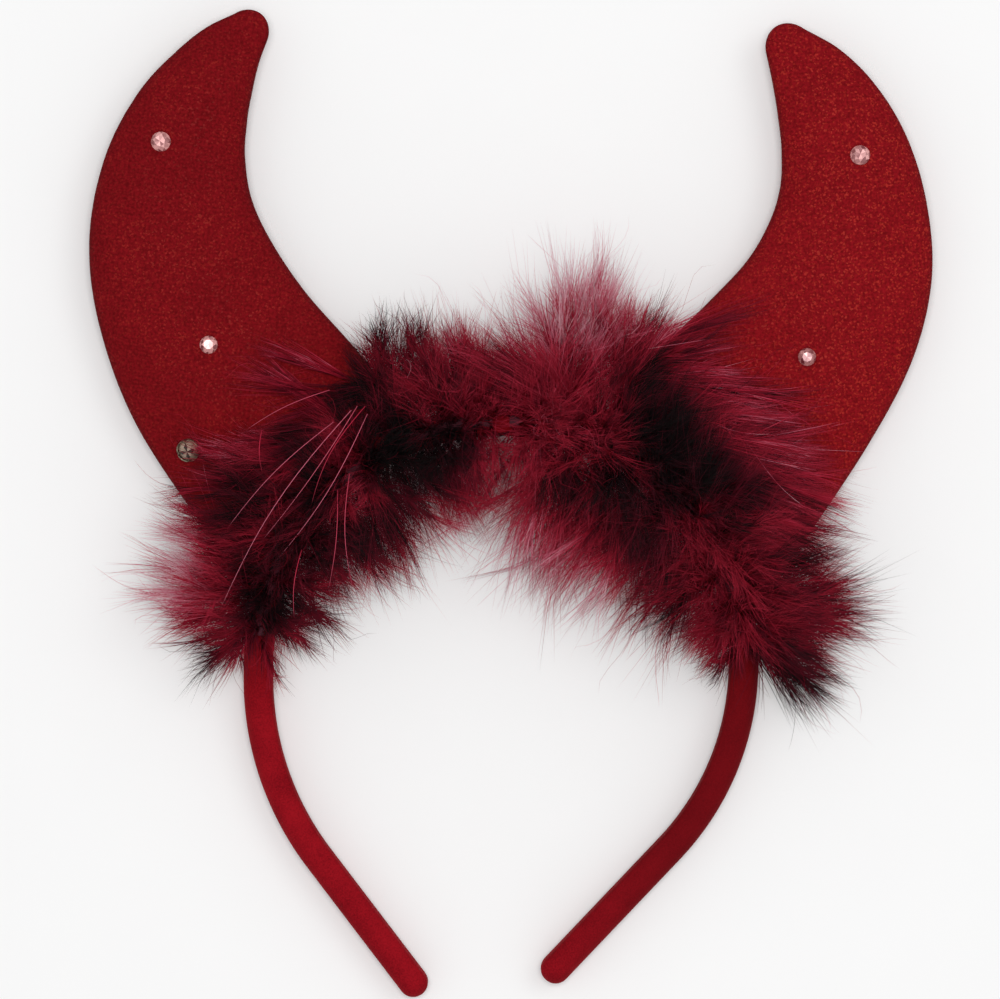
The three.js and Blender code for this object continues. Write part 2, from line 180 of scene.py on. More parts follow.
# The feather strips, a row for each place along the cord from the low end to the crown. over is how far
# the plumes reach away from the head, rise to the front and under into the arch, as shares of a plume's
# length. sweep turns them towards the low end, and tuck lets the fan reach further round the back than
# it does everywhere. The cord lies clear of the cloth by a gap and is twisted once in its lay.
TRIM_ANGLES = {"left": (7, 88), "right": (5, 88)}
TRIM_ROWS = {
    "left": table(
        "over rise under sweep tuck",
        (0.78, 0.6, 0.54, 20, 28),
        (0.98, 0.74, 0.76, 5, 14),
        (0.82, 0.8, 1.0, 4, 0),
        (0.74, 0.82, 1.14, 4, 0),
        (0.8, 0.82, 1.06, 0, 0),
        (0.82, 0.78, 0.88, -2, 18),
        (0.96, 0.74, 0.74, 0, 28),
    ),
    "right": table(
        "over rise under sweep tuck",
        (0.88, 0.7, 0.46, 24, 28),
        (1.0, 0.82, 0.74, 10, 14),
        (0.88, 0.86, 1.0, 4, 0),
        (1.0, 0.86, 1.34, 6, 0),
        (0.98, 0.86, 1.46, 6, 0),
        (1.04, 0.86, 1.32, 0, 18),
        (0.92, 0.78, 1.0, 10, 28),
    ),
}
BACK_TUCK = 24
CORD_GAP = 0.3 * MM
CORD_LAY = 7 * MM

# Bundles of longer plumes that stream out of the strips. angle is their place on the crown up from the
# side, spread how far they are strewn along it, off how far out from the cord they show, as a share of a
# plume's length. sweep turns them towards the low end, lift is their fan angle, reach a share of a
# plume's length, open how widely their barbs stand, shift how much lighter or darker they are.
TUFTS = {
    "left": table(
        "angle spread off sweep lift reach open shift count",
        (64, 7, 0.4, 96, 22, 1.05, 0.6, 0.04, 14),
        (54, 9, 0.35, 66, 18, 0.84, 0.7, 0.0, 13),
        (36, 9, 0.3, 34, 20, 0.85, 0.7, -0.02, 12),
        (60, 4, 0.5, 36, 10, 1.0, 0.3, 0.0, 3),
        (70, 6, 0.45, -4, 30, 0.74, 1.2, -0.15, 15),
        (80, 5, 0.12, -4, 30, 0.84, 1.1, 0.02, 9),
        (86, 4, 0.05, -4, 20, 0.5, 1.2, 0.0, 8),
        (18, 7, 0.1, 7, 20, 1.02, 0.8, 0.06, 13),
        (8, 3, 0.05, 48, 22, 0.58, 1.1, 0.0, 6),
        (54, 8, 0.0, 2, 158, 0.95, 1.0, -0.02, 6),
        (79, 4, 0.3, 84, 26, 0.7, 1.2, -0.04, 8),
    ),
    "right": table(
        "angle spread off sweep lift reach open shift count",
        (66, 6, 0.6, 70, 12, 1.2, 0.4, 0.0, 18),
        (58, 7, 0.5, 70, 12, 1.3, 0.35, 0.0, 20),
        (48, 7, 0.35, 66, 12, 1.2, 0.4, 0.0, 18),
        (37, 6, 0.3, 52, 14, 0.95, 0.5, 0.0, 10),
        (74, 7, 0.5, -2, 30, 1.02, 1.0, 0.08, 22),
        (66, 3, 0.45, 0, 24, 0.86, 0.9, -0.1, 10),
        (86, 4, 0.05, -4, 20, 0.5, 1.2, 0.0, 8),
        (68, 7, 0.15, -66, 40, 1.2, 0.5, 0.04, 12),
        (14, 8, 0.1, 10, 20, 1.04, 0.9, 0.0, 12),
        (26, 9, 0.0, 4, 158, 1.05, 1.0, 0.06, 4),
        (6, 4, 0.1, 34, 28, 0.92, 1.0, 0.0, 9),
    ),
}

# How unevenly the plumes are strewn. A pair holds the least and the most share of a length, and a single
# number is the width of a normal scatter, in degrees, in tones or as a share of a plume's length.
GOLDEN_TURN = 0.618034
PLUME_REACH = (0.72, 1.02)
PLUME_SWEEP = 16
PLUME_SHIFT = 0.06
TUFT_REACH = (0.75, 1.05)
TUFT_OFF = (0.4, 1.3)
TUFT_LIFT = 8
TUFT_SWEEP = 9
TUFT_SHIFT = 0.09
TUFT_PALEST = 0.05
CURL_DOWN = 0.22
CURL_ANY = 0.08

# The barbs of a plume. Of a pair of scatters, the first is between strands and the second within a strand.
# The barbs' angle closes and their length falls from the quill's root on by so much at its tip.
BARBED_LENGTH = 0.84
LAST_STRAND = 0.76
PLACE_SCATTER = 0.012
ROOT_SCATTER = 0.2 * MM
ROLL_SCATTER = (0.9, 0.25)
ANGLE_SCATTER = (13, 6)
LENGTH_SCATTER = (0.18, 0.12)
SWAY_SCATTER = (0.17, 0.09)
BARB_ANGLE = 40
ANGLE_CLOSING = 22
ANGLE_LIMITS = (3, 80)
BARB_LENGTH = 0.82
LENGTH_FALL = 0.55
LENGTH_LIMITS = (0.6, 1.35)
BEND_ONWARD = 0.15
BEND_BACK = 0.28

# The loose barbs: where on the quill they start, how steeply they leave, how far round and how wide they
# swing, and how long they are.
WISP_PLACES = (0.15, 0.95)
WISP_STEEPNESS = 0.75
WISP_SWING = (-6.5, 6.5)
WISP_WIDTH = (0.1, 0.24)
WISP_LENGTH = (0.35, 0.8)

# How each kind of thread is walked from its root to its tip, and how thick it is at each of these places
# but the last, as a share of its radius at the root.
THREADS = {
    "barb": (np.array([0, 0.36, 0.7, 1.0]), np.array([1.0, 0.85, 0.6])),
    "wisp": (np.linspace(0, 1, 8), np.linspace(1, 0.5, 7)),
    "quill": (np.linspace(0, 1, 7), np.linspace(1, 0.35, 6)),
    "bare_quill": (np.linspace(0, 1, 13), np.linspace(1, 0.5, 12)),
}
BARB_THICKNESS = (0.7, 1.2)
WISP_THICKNESS = (0.8, 1.2)
BARE_QUILL_THICKNESS = 0.85
QUILL_LENGTH = 0.9
DOWN_PIECES = {"left": 2, "right": 3}

# Long bare quills over the left strip, from a root to a tip. x and y are in millimetres from the crown's
# centre, rise is how high the middle of the arc stands above its ends, bow bends it sideways.
QUILLS = table(
    "root_x root_y tip_x tip_y rise bow",
    (-37.5, 65, -71, 14, 8, 2.8),
    (-33.5, 64, -57, 26.5, 10, -2),
    (-42, 62, -69, 35, 8, 1.5),
    (-36, 66, -61, 31, 9, -1),
    (-43, 70, -64, 60, 6, 1),
    (-38, 49, -37, 19, 8, 1.5),
    (-41, 45, -43.5, 19.5, 7, -1),
    (-50, 30, -52, 12.5, 6, 0.8),
    (-34, 66, -48, 40, 9, 2),
    (-60, 60, -60, 49, 5, 0.5),
)
QUILL_ROOT_HEIGHT = 26
QUILL_TIP_HEIGHT = 22

# Dark and light places in the down as seen from the front: x and y are in millimetres from the crown's
# centre, reach is the radius, tone runs from black at 0 over wine and crimson to pale pink at 1.
TONES = table(
    "x y reach tone",
    (-39, 68, 4, 0.05),
    (-26, 54, 9, 0.02),
    (-14, 56, 6, 0.08),
    (-28, 34, 8, 0.1),
    (-48, 32, 7, 0.2),
    (-66, 44, 6, 0.14),
    (-52, 58, 5, 0.16),
    (-47, 45, 5, 0.12),
    (-60, 19, 8, 0.14),
    (-26, 87, 7, 0.1),
    (-80, -2, 8, 0.02),
    (-42, 7, 6, 0.2),
    (35, 75, 6, 0.06),
    (42, 60, 8, 0.0),
    (53, 50, 6, 0.02),
    (44, 46, 5, 0.12),
    (57, 38, 5, 0.24),
    (64, 45, 4, 0.12),
    (16, 45, 4, 0.12),
    (29, 47, 5, 0.14),
    (33, 33, 8, 0.2),
    (36, 13, 8, 0.1),
    (66, -2, 7, 0.34),
    (77, 28, 7, 0.16),
    (90, 14, 9, 0.1),
    (95, 30, 6, 0.16),
    (76, -8, 10, 0.04),
    (58, -6, 6, 0.2),
    (28, 108, 11, 0.88),
    (18, 92, 10, 0.62),
    (4, 84, 8, 0.6),
    (18, 76, 12, 0.57),
    (10, 60, 9, 0.6),
    (-86, 28, 8, 0.8),
    (-75, 16, 8, 0.64),
    (-64, 0, 6, 0.5),
    (-36, 47, 6, 0.58),
    (-17, 71, 8, 0.52),
    (-4, 30, 8, 0.58),
    (10, 20, 8, 0.7),
    (24, 19, 6, 0.74),
    (22, 2, 8, 0.6),
    (72, 36, 6, 0.6),
    (48, 2, 6, 0.56),
    (66, 66, 14, 0.5),
    (82, 52, 10, 0.5),
    (66, 20, 7, 0.5),
    (-72, 62, 10, 0.54),
)
PLAIN_TONE = 0.47
PLAIN_WEIGHT = 0.35
PLACE_WEIGHT = 2.2

# Tones that single threads add of their own: how much darker a strand can be than its plume and how few are
# that dark, the scatter of barbs and wisps, and what a quill is lighter by.
STRAND_LIGHTEST = 0.08
STRAND_RANGE = 0.38
STRAND_RARITY = 2.5
BARB_SHIFT = 0.03
WISP_SHIFT = 0.12
QUILL_SHIFT = 0.03
BARE_QUILL_TONES = (0.84, 0.7)
BARE_QUILL_PALING = 0.05

# The dye of the down along its tone.
DOWN_STOPS = [
    (0.0, (0.012, 0.010, 0.010)),
    (0.14, (0.016, 0.008, 0.010)),
    (0.34, (0.12, 0.007, 0.017)),
    (0.54, (0.37, 0.012, 0.030)),
    (0.74, (0.53, 0.028, 0.064)),
    (0.87, (0.67, 0.16, 0.24)),
    (1.0, (0.82, 0.5, 0.56)),
]

# The soft lamps: place across and up, diameter and share of the power. They hang at one height.
LAMPS = {"softbox_over": (0.0, 0.05, 0.6, 0.78), "softbox_right": (0.9, 0.5, 1.1, 0.22)}
LAMP_HEIGHT = 1.8
FLOOR_HALF = 6.0
SUBJECT_HEIGHT = 0.01


def length(name, default, description):
    """A length that a user can change."""
    return FloatProperty(name=name, default=default, unit="LENGTH", precision=5, description=description)


def share(name, default, description):
    """A plain number that a user can change."""
    return FloatProperty(name=name, default=default, description=description)


def whole(name, default, description):
    """A whole number that a user can change."""
    return IntProperty(name=name, default=default, description=description)


def colour(name, default, description):
    """A colour that a user can change."""
    return FloatVectorProperty(
        name=name, default=default, size=3, min=0, max=1, subtype="COLOR", description=description
    )


class BandSizes(bpy.types.PropertyGroup):
    crown_radius: length("Crown radius", 0.062, "Middle line of the arc over the head")
    thickness: length("Thickness", 0.0074, "Thickness of the band as seen from the front")
    depth: length("Depth", 0.011, "Depth of the band from front to back")
    tail_length: length("Tail length", 0.04, "Straight stretch at the end of a leg")
    groove: length("Groove", 0.0004, "Depth of the join of the velvet along the inside")
    velvet: colour("Velvet", (0.3, 0.006, 0.012), "Colour of the velvet's pile")
    velvet_dark: colour("Velvet shade", (0.14, 0.0025, 0.006), "Colour where the pile lies the other way")
    # The velvet is darkened towards this colour over the right leg.
    right_leg: colour("Right leg", (0.09, 0.003, 0.0045), "Colour of the right leg's darkened pile")


class HornSizes(bpy.types.PropertyGroup):
    angle: FloatProperty(
        name="Angle",
        default=math.radians(43),
        unit="ROTATION",
        description="Place of a horn's foot up the crown",
    )
    reach: length("Reach", 0.094, "How far a horn stands out from the band")
    lean: length("Lean", 0.078, "How far a horn's tip leans in over the head")
    width: length("Width", 0.059, "Width across the foot")
    thickness: length("Thickness", 0.017, "Thickness of the stuffing where it is fullest")
    hem: length("Hem", 0.001, "How far the hem stops short of the band's inside")
    fullness: share("Fullness", 2.3, "Exponent of the rounded section, 2 for an ellipse")
    tip_rounding: share("Tip rounding", 0.72, "How far the tip stands out, as a share of its half width")
    seam_depth: length("Seam depth", 0.0003, "How deep the seam pulls in round the edge")
    pucker: length("Pucker", 0.0003, "Height of the puckers beside the seam")
    stuffing: length("Stuffing", 0.0006, "Height of the unevenness of the stuffing")
    pile: colour("Pile", (0.26, 0.006, 0.0105), "Colour of the plush")
    left_shade: share("Left shade", 0.8, "How much darker the left horn's plush is, 1 for no darker")
    # Partly painted shade: the plush is darkened towards this colour in the hollows between its tufts, and
    # in large clouds of its own uneven tone.
    pile_hollow_shade: colour("Pile shade", (0.13, 0.0025, 0.0045), "Colour between the tufts of the plush")
    # Painted shade: near a horn's edge and in its seam the pile is darkened towards this colour, where the
    # rounded sides turn away from the light.
    edge_painted_shade: colour("Edge shade", (0.028, 0.0015, 0.0025), "Colour of the pile in the edge's seam")
    glitter: colour("Glitter", (0.62, 0.05, 0.025), "Colour of the sparks in the plush")


class StoneSizes(bpy.types.PropertyGroup):
    diameter: length("Diameter", 0.0051, "Diameter of a middling stone")
    height: length("Height", 0.0023, "Height of a stone above its flat back")
    # Painted reflections: a facet's colour runs from shade to foil by how bright its painted reflection is,
    # and on the low stone from smoky shade to smoky foil. The foil colours are also the foil's own tints.
    foil: colour("Foil", (0.95, 0.5, 0.48), "Colour of the foil behind a stone")
    shade: colour("Shade", (0.16, 0.02, 0.03), "Colour of a facet that looks away from the light")
    smoke: colour("Smoky foil", (0.5, 0.36, 0.27), "Colour of the foil behind the low stone")
    smoke_dark: colour("Smoky shade", (0.03, 0.02, 0.015), "Colour of its dark facets")
    metal: colour("Cup", (0.34, 0.29, 0.2), "Colour of the metal cup round the low stone")


class TrimSizes(bpy.types.PropertyGroup):
    cord_radius: length("Cord radius", 0.0015, "The cord that the plumes are bound to")
    plume_length: length("Plume length", 0.03, "Length of a middling plume")
    plumes_left: whole("Plumes left", 138, "Plumes on the left strip")
    plumes_right: whole("Plumes right", 190, "Plumes on the right strip")
    strands: whole("Strands", 12, "Strands of barbs on each plume")
    strand_barbs: whole("Barbs in a strand", 7, "Barbs that cling together")
    wisps: whole("Wisps", 4, "Loose curly barbs on each plume")
    barb_radius: length("Barb radius", 0.00009, "Radius of a barb at its root")
    wisp_radius: length("Wisp radius", 0.00006, "Radius of a loose curly barb at its root")
    quill_radius: length("Quill radius", 0.00014, "Radius of a quill at its root")
    free_inner: length("Free within", 0.014, "Distance from the cord at which light starts to come through")
    free_outer: length("Free beyond", 0.028, "Distance from the cord at which most light comes through")
    free_lift: share("Free lift", 0.25, "How much lighter down looks where light comes through it")
    top: length("Top", 0.046, "Height above the floor that the down is pressed below")
    seed: whole("Seed", 11, "Number that the scatter of the plumes starts from")


class StageLook(bpy.types.PropertyGroup):
    view_width: length("View width", 0.255, "Width of what the camera sees")
    camera_height: length("Camera height", 1.5, "Height of the camera above the floor")
    aim_x: length("Aim across", -0.000255, "How far right of the crown's centre the camera looks")
    aim_y: length("Aim up", 0.04195, "How far above the crown's centre the camera looks")
    floor: colour("Floor", (0.9, 0.9, 0.9), "Colour of the floor")
    sky: share("Sky", 0.5, "Strength of the even light from all round")
    softbox: FloatProperty(
        name="Softbox", default=20.7, unit="POWER", description="Power of the soft lamps overhead"
    )


class HeadbandSettings(bpy.types.PropertyGroup):
    band: PointerProperty(type=BandSizes)
    horn: PointerProperty(type=HornSizes)
    stone: PointerProperty(type=StoneSizes)
    trim: PointerProperty(type=TrimSizes)
    stage: PointerProperty(type=StageLook)


# Shapes


def spline(rows, step):
    """Values between the middle two of four rows: a Catmull-Rom curve at a share of the way."""
    a, b, c, d = rows
    cubic = 3 * b - 3 * c + d - a
    return b + 0.5 * step * (c - a + step * (2 * a - 5 * b + 4 * c - d + step * cubic))


def smooth_at(values, places):
    """Values on a smooth curve through evenly spaced rows: a spline with mirrored ends."""
    ends = 2 * values[[0, -1]] - values[[1, -2]]
    rows = np.concatenate([ends[:1], values, ends[1:]])
    place = places * (len(values) - 1)
    low = np.clip(place.astype(int), 0, len(values) - 2)
    return spline((rows[low + k] for k in range(4)), place - low)


def smooth_ring(values, count):
    """Values on a smooth closed curve through a ring of points: the same spline, whose rows wrap round."""
    place = np.arange(count) * len(values) / count
    low = place.astype(int)
    return spline((np.take(values, low + k, mode="wrap") for k in (-1, 0, 1, 2)), place - low)


def outward(side, angle):
    """The directions away from the crown's centre at angles up from a side, in radians."""
    angle = np.asarray(angle, float)
    return np.stack([SIGN[side] * np.cos(angle), np.sin(angle), 0 * angle], -1)


def downward(side, angle):
    """The directions along the crown towards a side's leg, at angles up from that side."""
    angle = np.asarray(angle, float)
    return np.stack([SIGN[side] * np.sin(angle), -np.cos(angle), 0 * angle], -1)


def unit(vectors):
    """The vectors at a length of 1."""
    return vectors / np.linalg.norm(vectors, axis=-1, keepdims=True)


def waves(points, size, seed):
    """Smooth unevenness mostly between -1 and 1: the sum of sine waves across the points over the root of
    their count, in directions and phases drawn from a seed, each about as long as size."""
    rng = np.random.default_rng(seed)
    total = np.zeros(points.shape[:-1])
    count, shortest, longest = 5, 0.8, 1.7
    for _ in range(count):
        direction = unit(rng.normal(size=3)) * 2 * math.pi / (size * rng.uniform(shortest, longest))
        total += np.sin(points @ direction + rng.uniform(0, 2 * math.pi))
    return total / math.sqrt(count)


def leg_path(side, band, step):
    """The middle line of one leg from the crown's end down, and the way along it: a straight drop, then an
    arc that turns inwards, then a straight tail. The distance walked is shared out over them in turn."""
    leg, sign = LEGS[side], SIGN[side]
    radius = leg["bend"] * band.crown_radius
    drop = leg["drop"] * band.tail_length
    arc = radius * math.radians(leg["turn"])
    total = drop + arc + leg["tail"] * band.tail_length
    walked = np.linspace(0, total, round(total / step))
    angle = np.clip(walked - drop, 0, arc) / radius
    tail = np.maximum(walked - drop - arc, 0)
    heading = np.stack([-sign * np.sin(angle), -np.cos(angle), 0 * angle], 1)
    x = sign * (band.crown_radius - radius * (1 - np.cos(angle)))
    y = -np.minimum(walked, drop) - radius * np.sin(angle)
    return np.stack([x, y, 0 * x], 1) + heading * tail[:, None], heading


def band_path(band, step):
    """The band's middle line from its left tip over the crown to its right tip, with the way along it."""
    left, left_down = leg_path("left", band, step)
    right, right_down = leg_path("right", band, step)
    angles = np.linspace(math.pi, 0, round(math.pi * band.crown_radius / step))[1:-1]
    crown = outward("right", angles) * band.crown_radius
    points = np.concatenate([left[::-1], crown, right])
    along = np.concatenate([-left_down[::-1], downward("right", angles), right_down])
    return points, along


def band_surface(band, margin, around, step):
    """The band's skin: its section, a smooth closed curve through the table's corners, carried along the
    middle line and drawn in at both ends as the cosine of an angle while it moves on by the sine. A margin
    widens it all round and leaves out the groove. Gives the rings and the two end points."""
    points, along = band_path(band, step)
    turns = np.linspace(0, math.pi / 2, BAND_END_ROWS + 2)[1:-1]
    reach = band.thickness / 2
    first = points[0] - along[0] * np.sin(turns[::-1, None]) * reach
    last = points[-1] + along[-1] * np.sin(turns[:, None]) * reach
    ends = points[0] - along[0] * reach, points[-1] + along[-1] * reach
    sizes = np.concatenate([np.cos(turns[::-1]), np.ones(len(points)), np.cos(turns)])
    points = np.concatenate([first, points, last])
    along = np.pad(along, ((BAND_END_ROWS, BAND_END_ROWS), (0, 0)), mode="edge")
    out = smooth_ring(np.concatenate([BAND_SECTION["out"][::-1], BAND_SECTION["out"]]), around)
    deep = smooth_ring(np.concatenate([BAND_SECTION["deep"][::-1], -BAND_SECTION["deep"]]), around)
    if margin == 0:
        groove = (out < BAND_INSIDE) * np.exp(-((deep / GROOVE_WIDTH) ** 2))
        out = out + groove * 2 * band.groove / band.thickness
    outer = np.cross(FRONT, along)
    across = out * (band.thickness / 2 + margin) * sizes[:, None]
    depth = deep * (band.depth / 2 + margin) * sizes[:, None]
    rings = points[:, None] + outer[:, None] * across[..., None] + FRONT * depth[..., None]
    return rings, ends


def rounded(values, fullness):
    """One coordinate of a rounded section from a cosine or sine: its size to the power 2 over fullness."""
    return np.sign(values) * np.abs(values) ** (2 / fullness)


def horn_frame(side, horn, band, places):
    """A horn's sections at shares of the way from foot to tip: middle, way along, way across, half width
    and half thickness, each read from the table's smooth curves."""
    rows = {name: smooth_at(column, places) for name, column in HORN_SECTIONS[side].items()}
    out, inward = outward(side, horn.angle), -downward(side, horn.angle)
    middle = out * (band.crown_radius + horn.reach * rows["out"])[:, None]
    middle = middle + inward * (horn.lean * rows["lean"])[:, None]
    turn = np.radians(rows["turn"])[:, None]
    along = out * np.cos(turn) + inward * np.sin(turn)
    across = np.cross(FRONT, along)
    return middle, along, across, rows["width"] * horn.width / 2, rows["thick"] * horn.thickness / 2


def horn_surface(side, horn, band, steps, around):
    """A stuffed horn's skin: rounded sections along a bent middle line, closed at the tip by sections that
    shrink as the cosine of an angle that starts where the sides already close in. The seam pulls in round
    the edge as a narrow bell curve, puckers run off it as a wave along the edge that fades inwards, and low
    waves make the stuffing uneven. Gives the rings, the two end points and how near each point is to the
    seam and to the edge as seen from the front, which sets where shade is painted on the plush."""
    places = np.linspace(0, 1, steps)
    middle, along, across, half_width, half_thick = horn_frame(side, horn, band, places)
    closing = math.atan2(half_width[-2] - half_width[-1], np.linalg.norm(middle[-1] - middle[-2]))
    turns = np.linspace(closing, math.pi / 2, HORN_END_ROWS + 2)[1:-1]
    reach = horn.tip_rounding * half_width[-1]
    onward = (np.sin(turns) - math.sin(closing)) / (1 - math.sin(closing))
    tip = middle[-1] + along[-1] * onward[:, None] * reach
    ends = middle[0], middle[-1] + along[-1] * reach
    shrink = np.concatenate([np.ones(steps), np.cos(turns) / math.cos(closing)])
    middle = np.concatenate([middle, tip])
    across = np.pad(across, ((0, HORN_END_ROWS), (0, 0)), mode="edge")
    half_width = np.pad(half_width, (0, HORN_END_ROWS), mode="edge") * shrink
    half_thick = np.pad(half_thick, (0, HORN_END_ROWS), mode="edge") * shrink
    shrink = shrink[:, None]
    angle = np.arange(around) * 2 * math.pi / around
    angle = angle - CROWDING * np.sin(2 * angle)
    wide = rounded(np.cos(angle), horn.fullness)
    thick = rounded(np.sin(angle), horn.fullness)
    offset = half_width[:, None] * wide
    height = half_thick[:, None] * thick
    seam = np.exp(-((height / SEAM_WIDTH) ** 2)) * (np.abs(wide) > SEAM_SIDE)
    walked = np.concatenate([[0], np.cumsum(np.linalg.norm(np.diff(middle, axis=0), axis=1))])
    edge = 2 * math.pi * (walked[:, None] + SIGN[side] * np.sign(wide) * PUCKER_STAGGER)
    inset = half_width[:, None] - np.abs(offset)
    ripple = np.sin(edge / PUCKER_LENGTH + PUCKER_DRIFT * np.sin(edge / PUCKER_DRIFT_LENGTH))
    away = 1 - np.exp(-((height / PUCKER_CLEARANCE) ** 2))
    pucker = horn.pucker * ripple * np.exp(-inset / PUCKER_REACH) * away
    flat = middle[:, None] + across[:, None] * offset[..., None]
    uneven = horn.stuffing * waves(flat, STUFFING_LENGTH, STUFFING_SEED) * np.abs(thick)
    offset = offset - np.sign(wide) * seam * horn.seam_depth * shrink
    height = height + np.sign(thick) * (pucker + uneven) * shrink
    rings = middle[:, None] + across[:, None] * offset[..., None] + FRONT * height[..., None]
    return rings, ends, np.maximum(seam, np.exp(-((inset / EDGE_WIDTH) ** 2)))


def head_space(horn, band, around):
    """The room for the head as a short round column, up to the horns' hems."""
    radius = band.crown_radius - band.thickness / 2 + horn.hem
    angle = np.arange(around) * 2 * math.pi / around
    circle = np.stack([radius * np.cos(angle), radius * np.sin(angle), 0 * angle], 1)
    rings = np.stack([circle - FRONT * horn.thickness, circle + FRONT * horn.thickness])
    return rings, (-FRONT * horn.thickness, FRONT * horn.thickness)


def cord_height(angle, horn, band, trim):
    """The height of the trim's cord: on the band's front, and up over a horn's foot along its section."""
    across = np.abs((angle - horn.angle) * band.crown_radius / (horn.width / 2))
    foot = horn.thickness / 2 * np.maximum(1 - across**horn.fullness, 0) ** (1 / horn.fullness)
    return np.maximum(band.depth / 2, foot) + CORD_GAP + trim.cord_radius


def cord_place(side, angle, horn, band, trim):
    """Points on the trim's cord at angles up from a side."""
    return outward(side, angle) * band.crown_radius + FRONT * cord_height(angle, horn, band, trim)[:, None]


def cord_surface(side, horn, band, trim, steps, around):
    """The twisted cord under the plumes: a circle with two lobes that turn as it is carried along."""
    low, high = np.radians(TRIM_ANGLES[side])
    angle = np.linspace(low, high, steps)
    middle = cord_place(side, angle, horn, band, trim)
    twist = angle * band.crown_radius * 2 * math.pi / CORD_LAY
    turn = np.arange(around) * 2 * math.pi / around
    radius = trim.cord_radius * (0.9 + 0.1 * np.cos(2 * (turn - twist[:, None])))
    out = outward(side, angle) * SIGN[side]
    rings = middle[:, None] + out[:, None] * (radius * np.cos(turn))[..., None]
    rings = rings - FRONT * (radius * np.sin(turn))[..., None]
    return rings, (middle[0], middle[-1])


class Ground:
    """The height of the horns' and the band's fronts over a fine grid seen from the front, and below zero
    where there is nothing. The back is taken as the mirror image of the front."""

    PITCH = 0.5 * MM
    LOW_CORNER = np.array([-0.14, -0.12])
    CELLS = (560, 600)

    def __init__(self, horn, band):
        self.height = np.full(self.CELLS, -1.0)
        surfaces = [horn_surface(side, horn, band, *GROUND_HORN_GRAIN)[0] for side in SIDES]
        surfaces.append(band_surface(band, 0.0, GROUND_BAND_AROUND, self.PITCH)[0])
        for points in surfaces:
            points = points[points[..., 2] > 0]
            np.maximum.at(self.height, self.cell(points), points[:, 2])

    def cell(self, points):
        """The grid cell under each point."""
        cells = ((points[..., :2] - self.LOW_CORNER) / self.PITCH).astype(int)
        cells = np.clip(cells, 0, np.array(self.CELLS) - 1)
        return cells[..., 0], cells[..., 1]

    def lift(self, points, gap):
        """The points moved straight off the fronts and backs, so that each lies clear by a gap."""
        clear = np.maximum(np.abs(points[..., 2]), self.height[self.cell(points)] + gap)
        points[..., 2] = np.where(points[..., 2] < 0, -clear, clear)
        return points


def tone_at(points):
    """The tone of the down at points: a plain wine, drawn towards each dark or light place by a bell curve
    of the distance to it."""
    total = np.full(points.shape[:-1], PLAIN_WEIGHT)
    weighed = total * PLAIN_TONE
    for x, y, reach, tone in zip(*TONES.values()):
        away = ((points[..., 0] / MM - x) ** 2 + (points[..., 1] / MM - y) ** 2) / reach**2
        weight = PLACE_WEIGHT * np.exp(-(away**1.5))
        total += weight
        weighed += weight * tone
    return weighed / total


def light_through(points, ground, settings):
    """How much lighter the down looks where it stands free of the horns: a smooth step of the distance
    from the cord's line."""
    trim = settings.trim
    away = np.abs(np.linalg.norm(points[..., :2], axis=-1) - settings.band.crown_radius)
    step = np.clip((away - trim.free_inner) / (trim.free_outer - trim.free_inner), 0, 1)
    free = ground.height[ground.cell(points)] < 0
    return trim.free_lift * free * step * step * (3 - 2 * step)


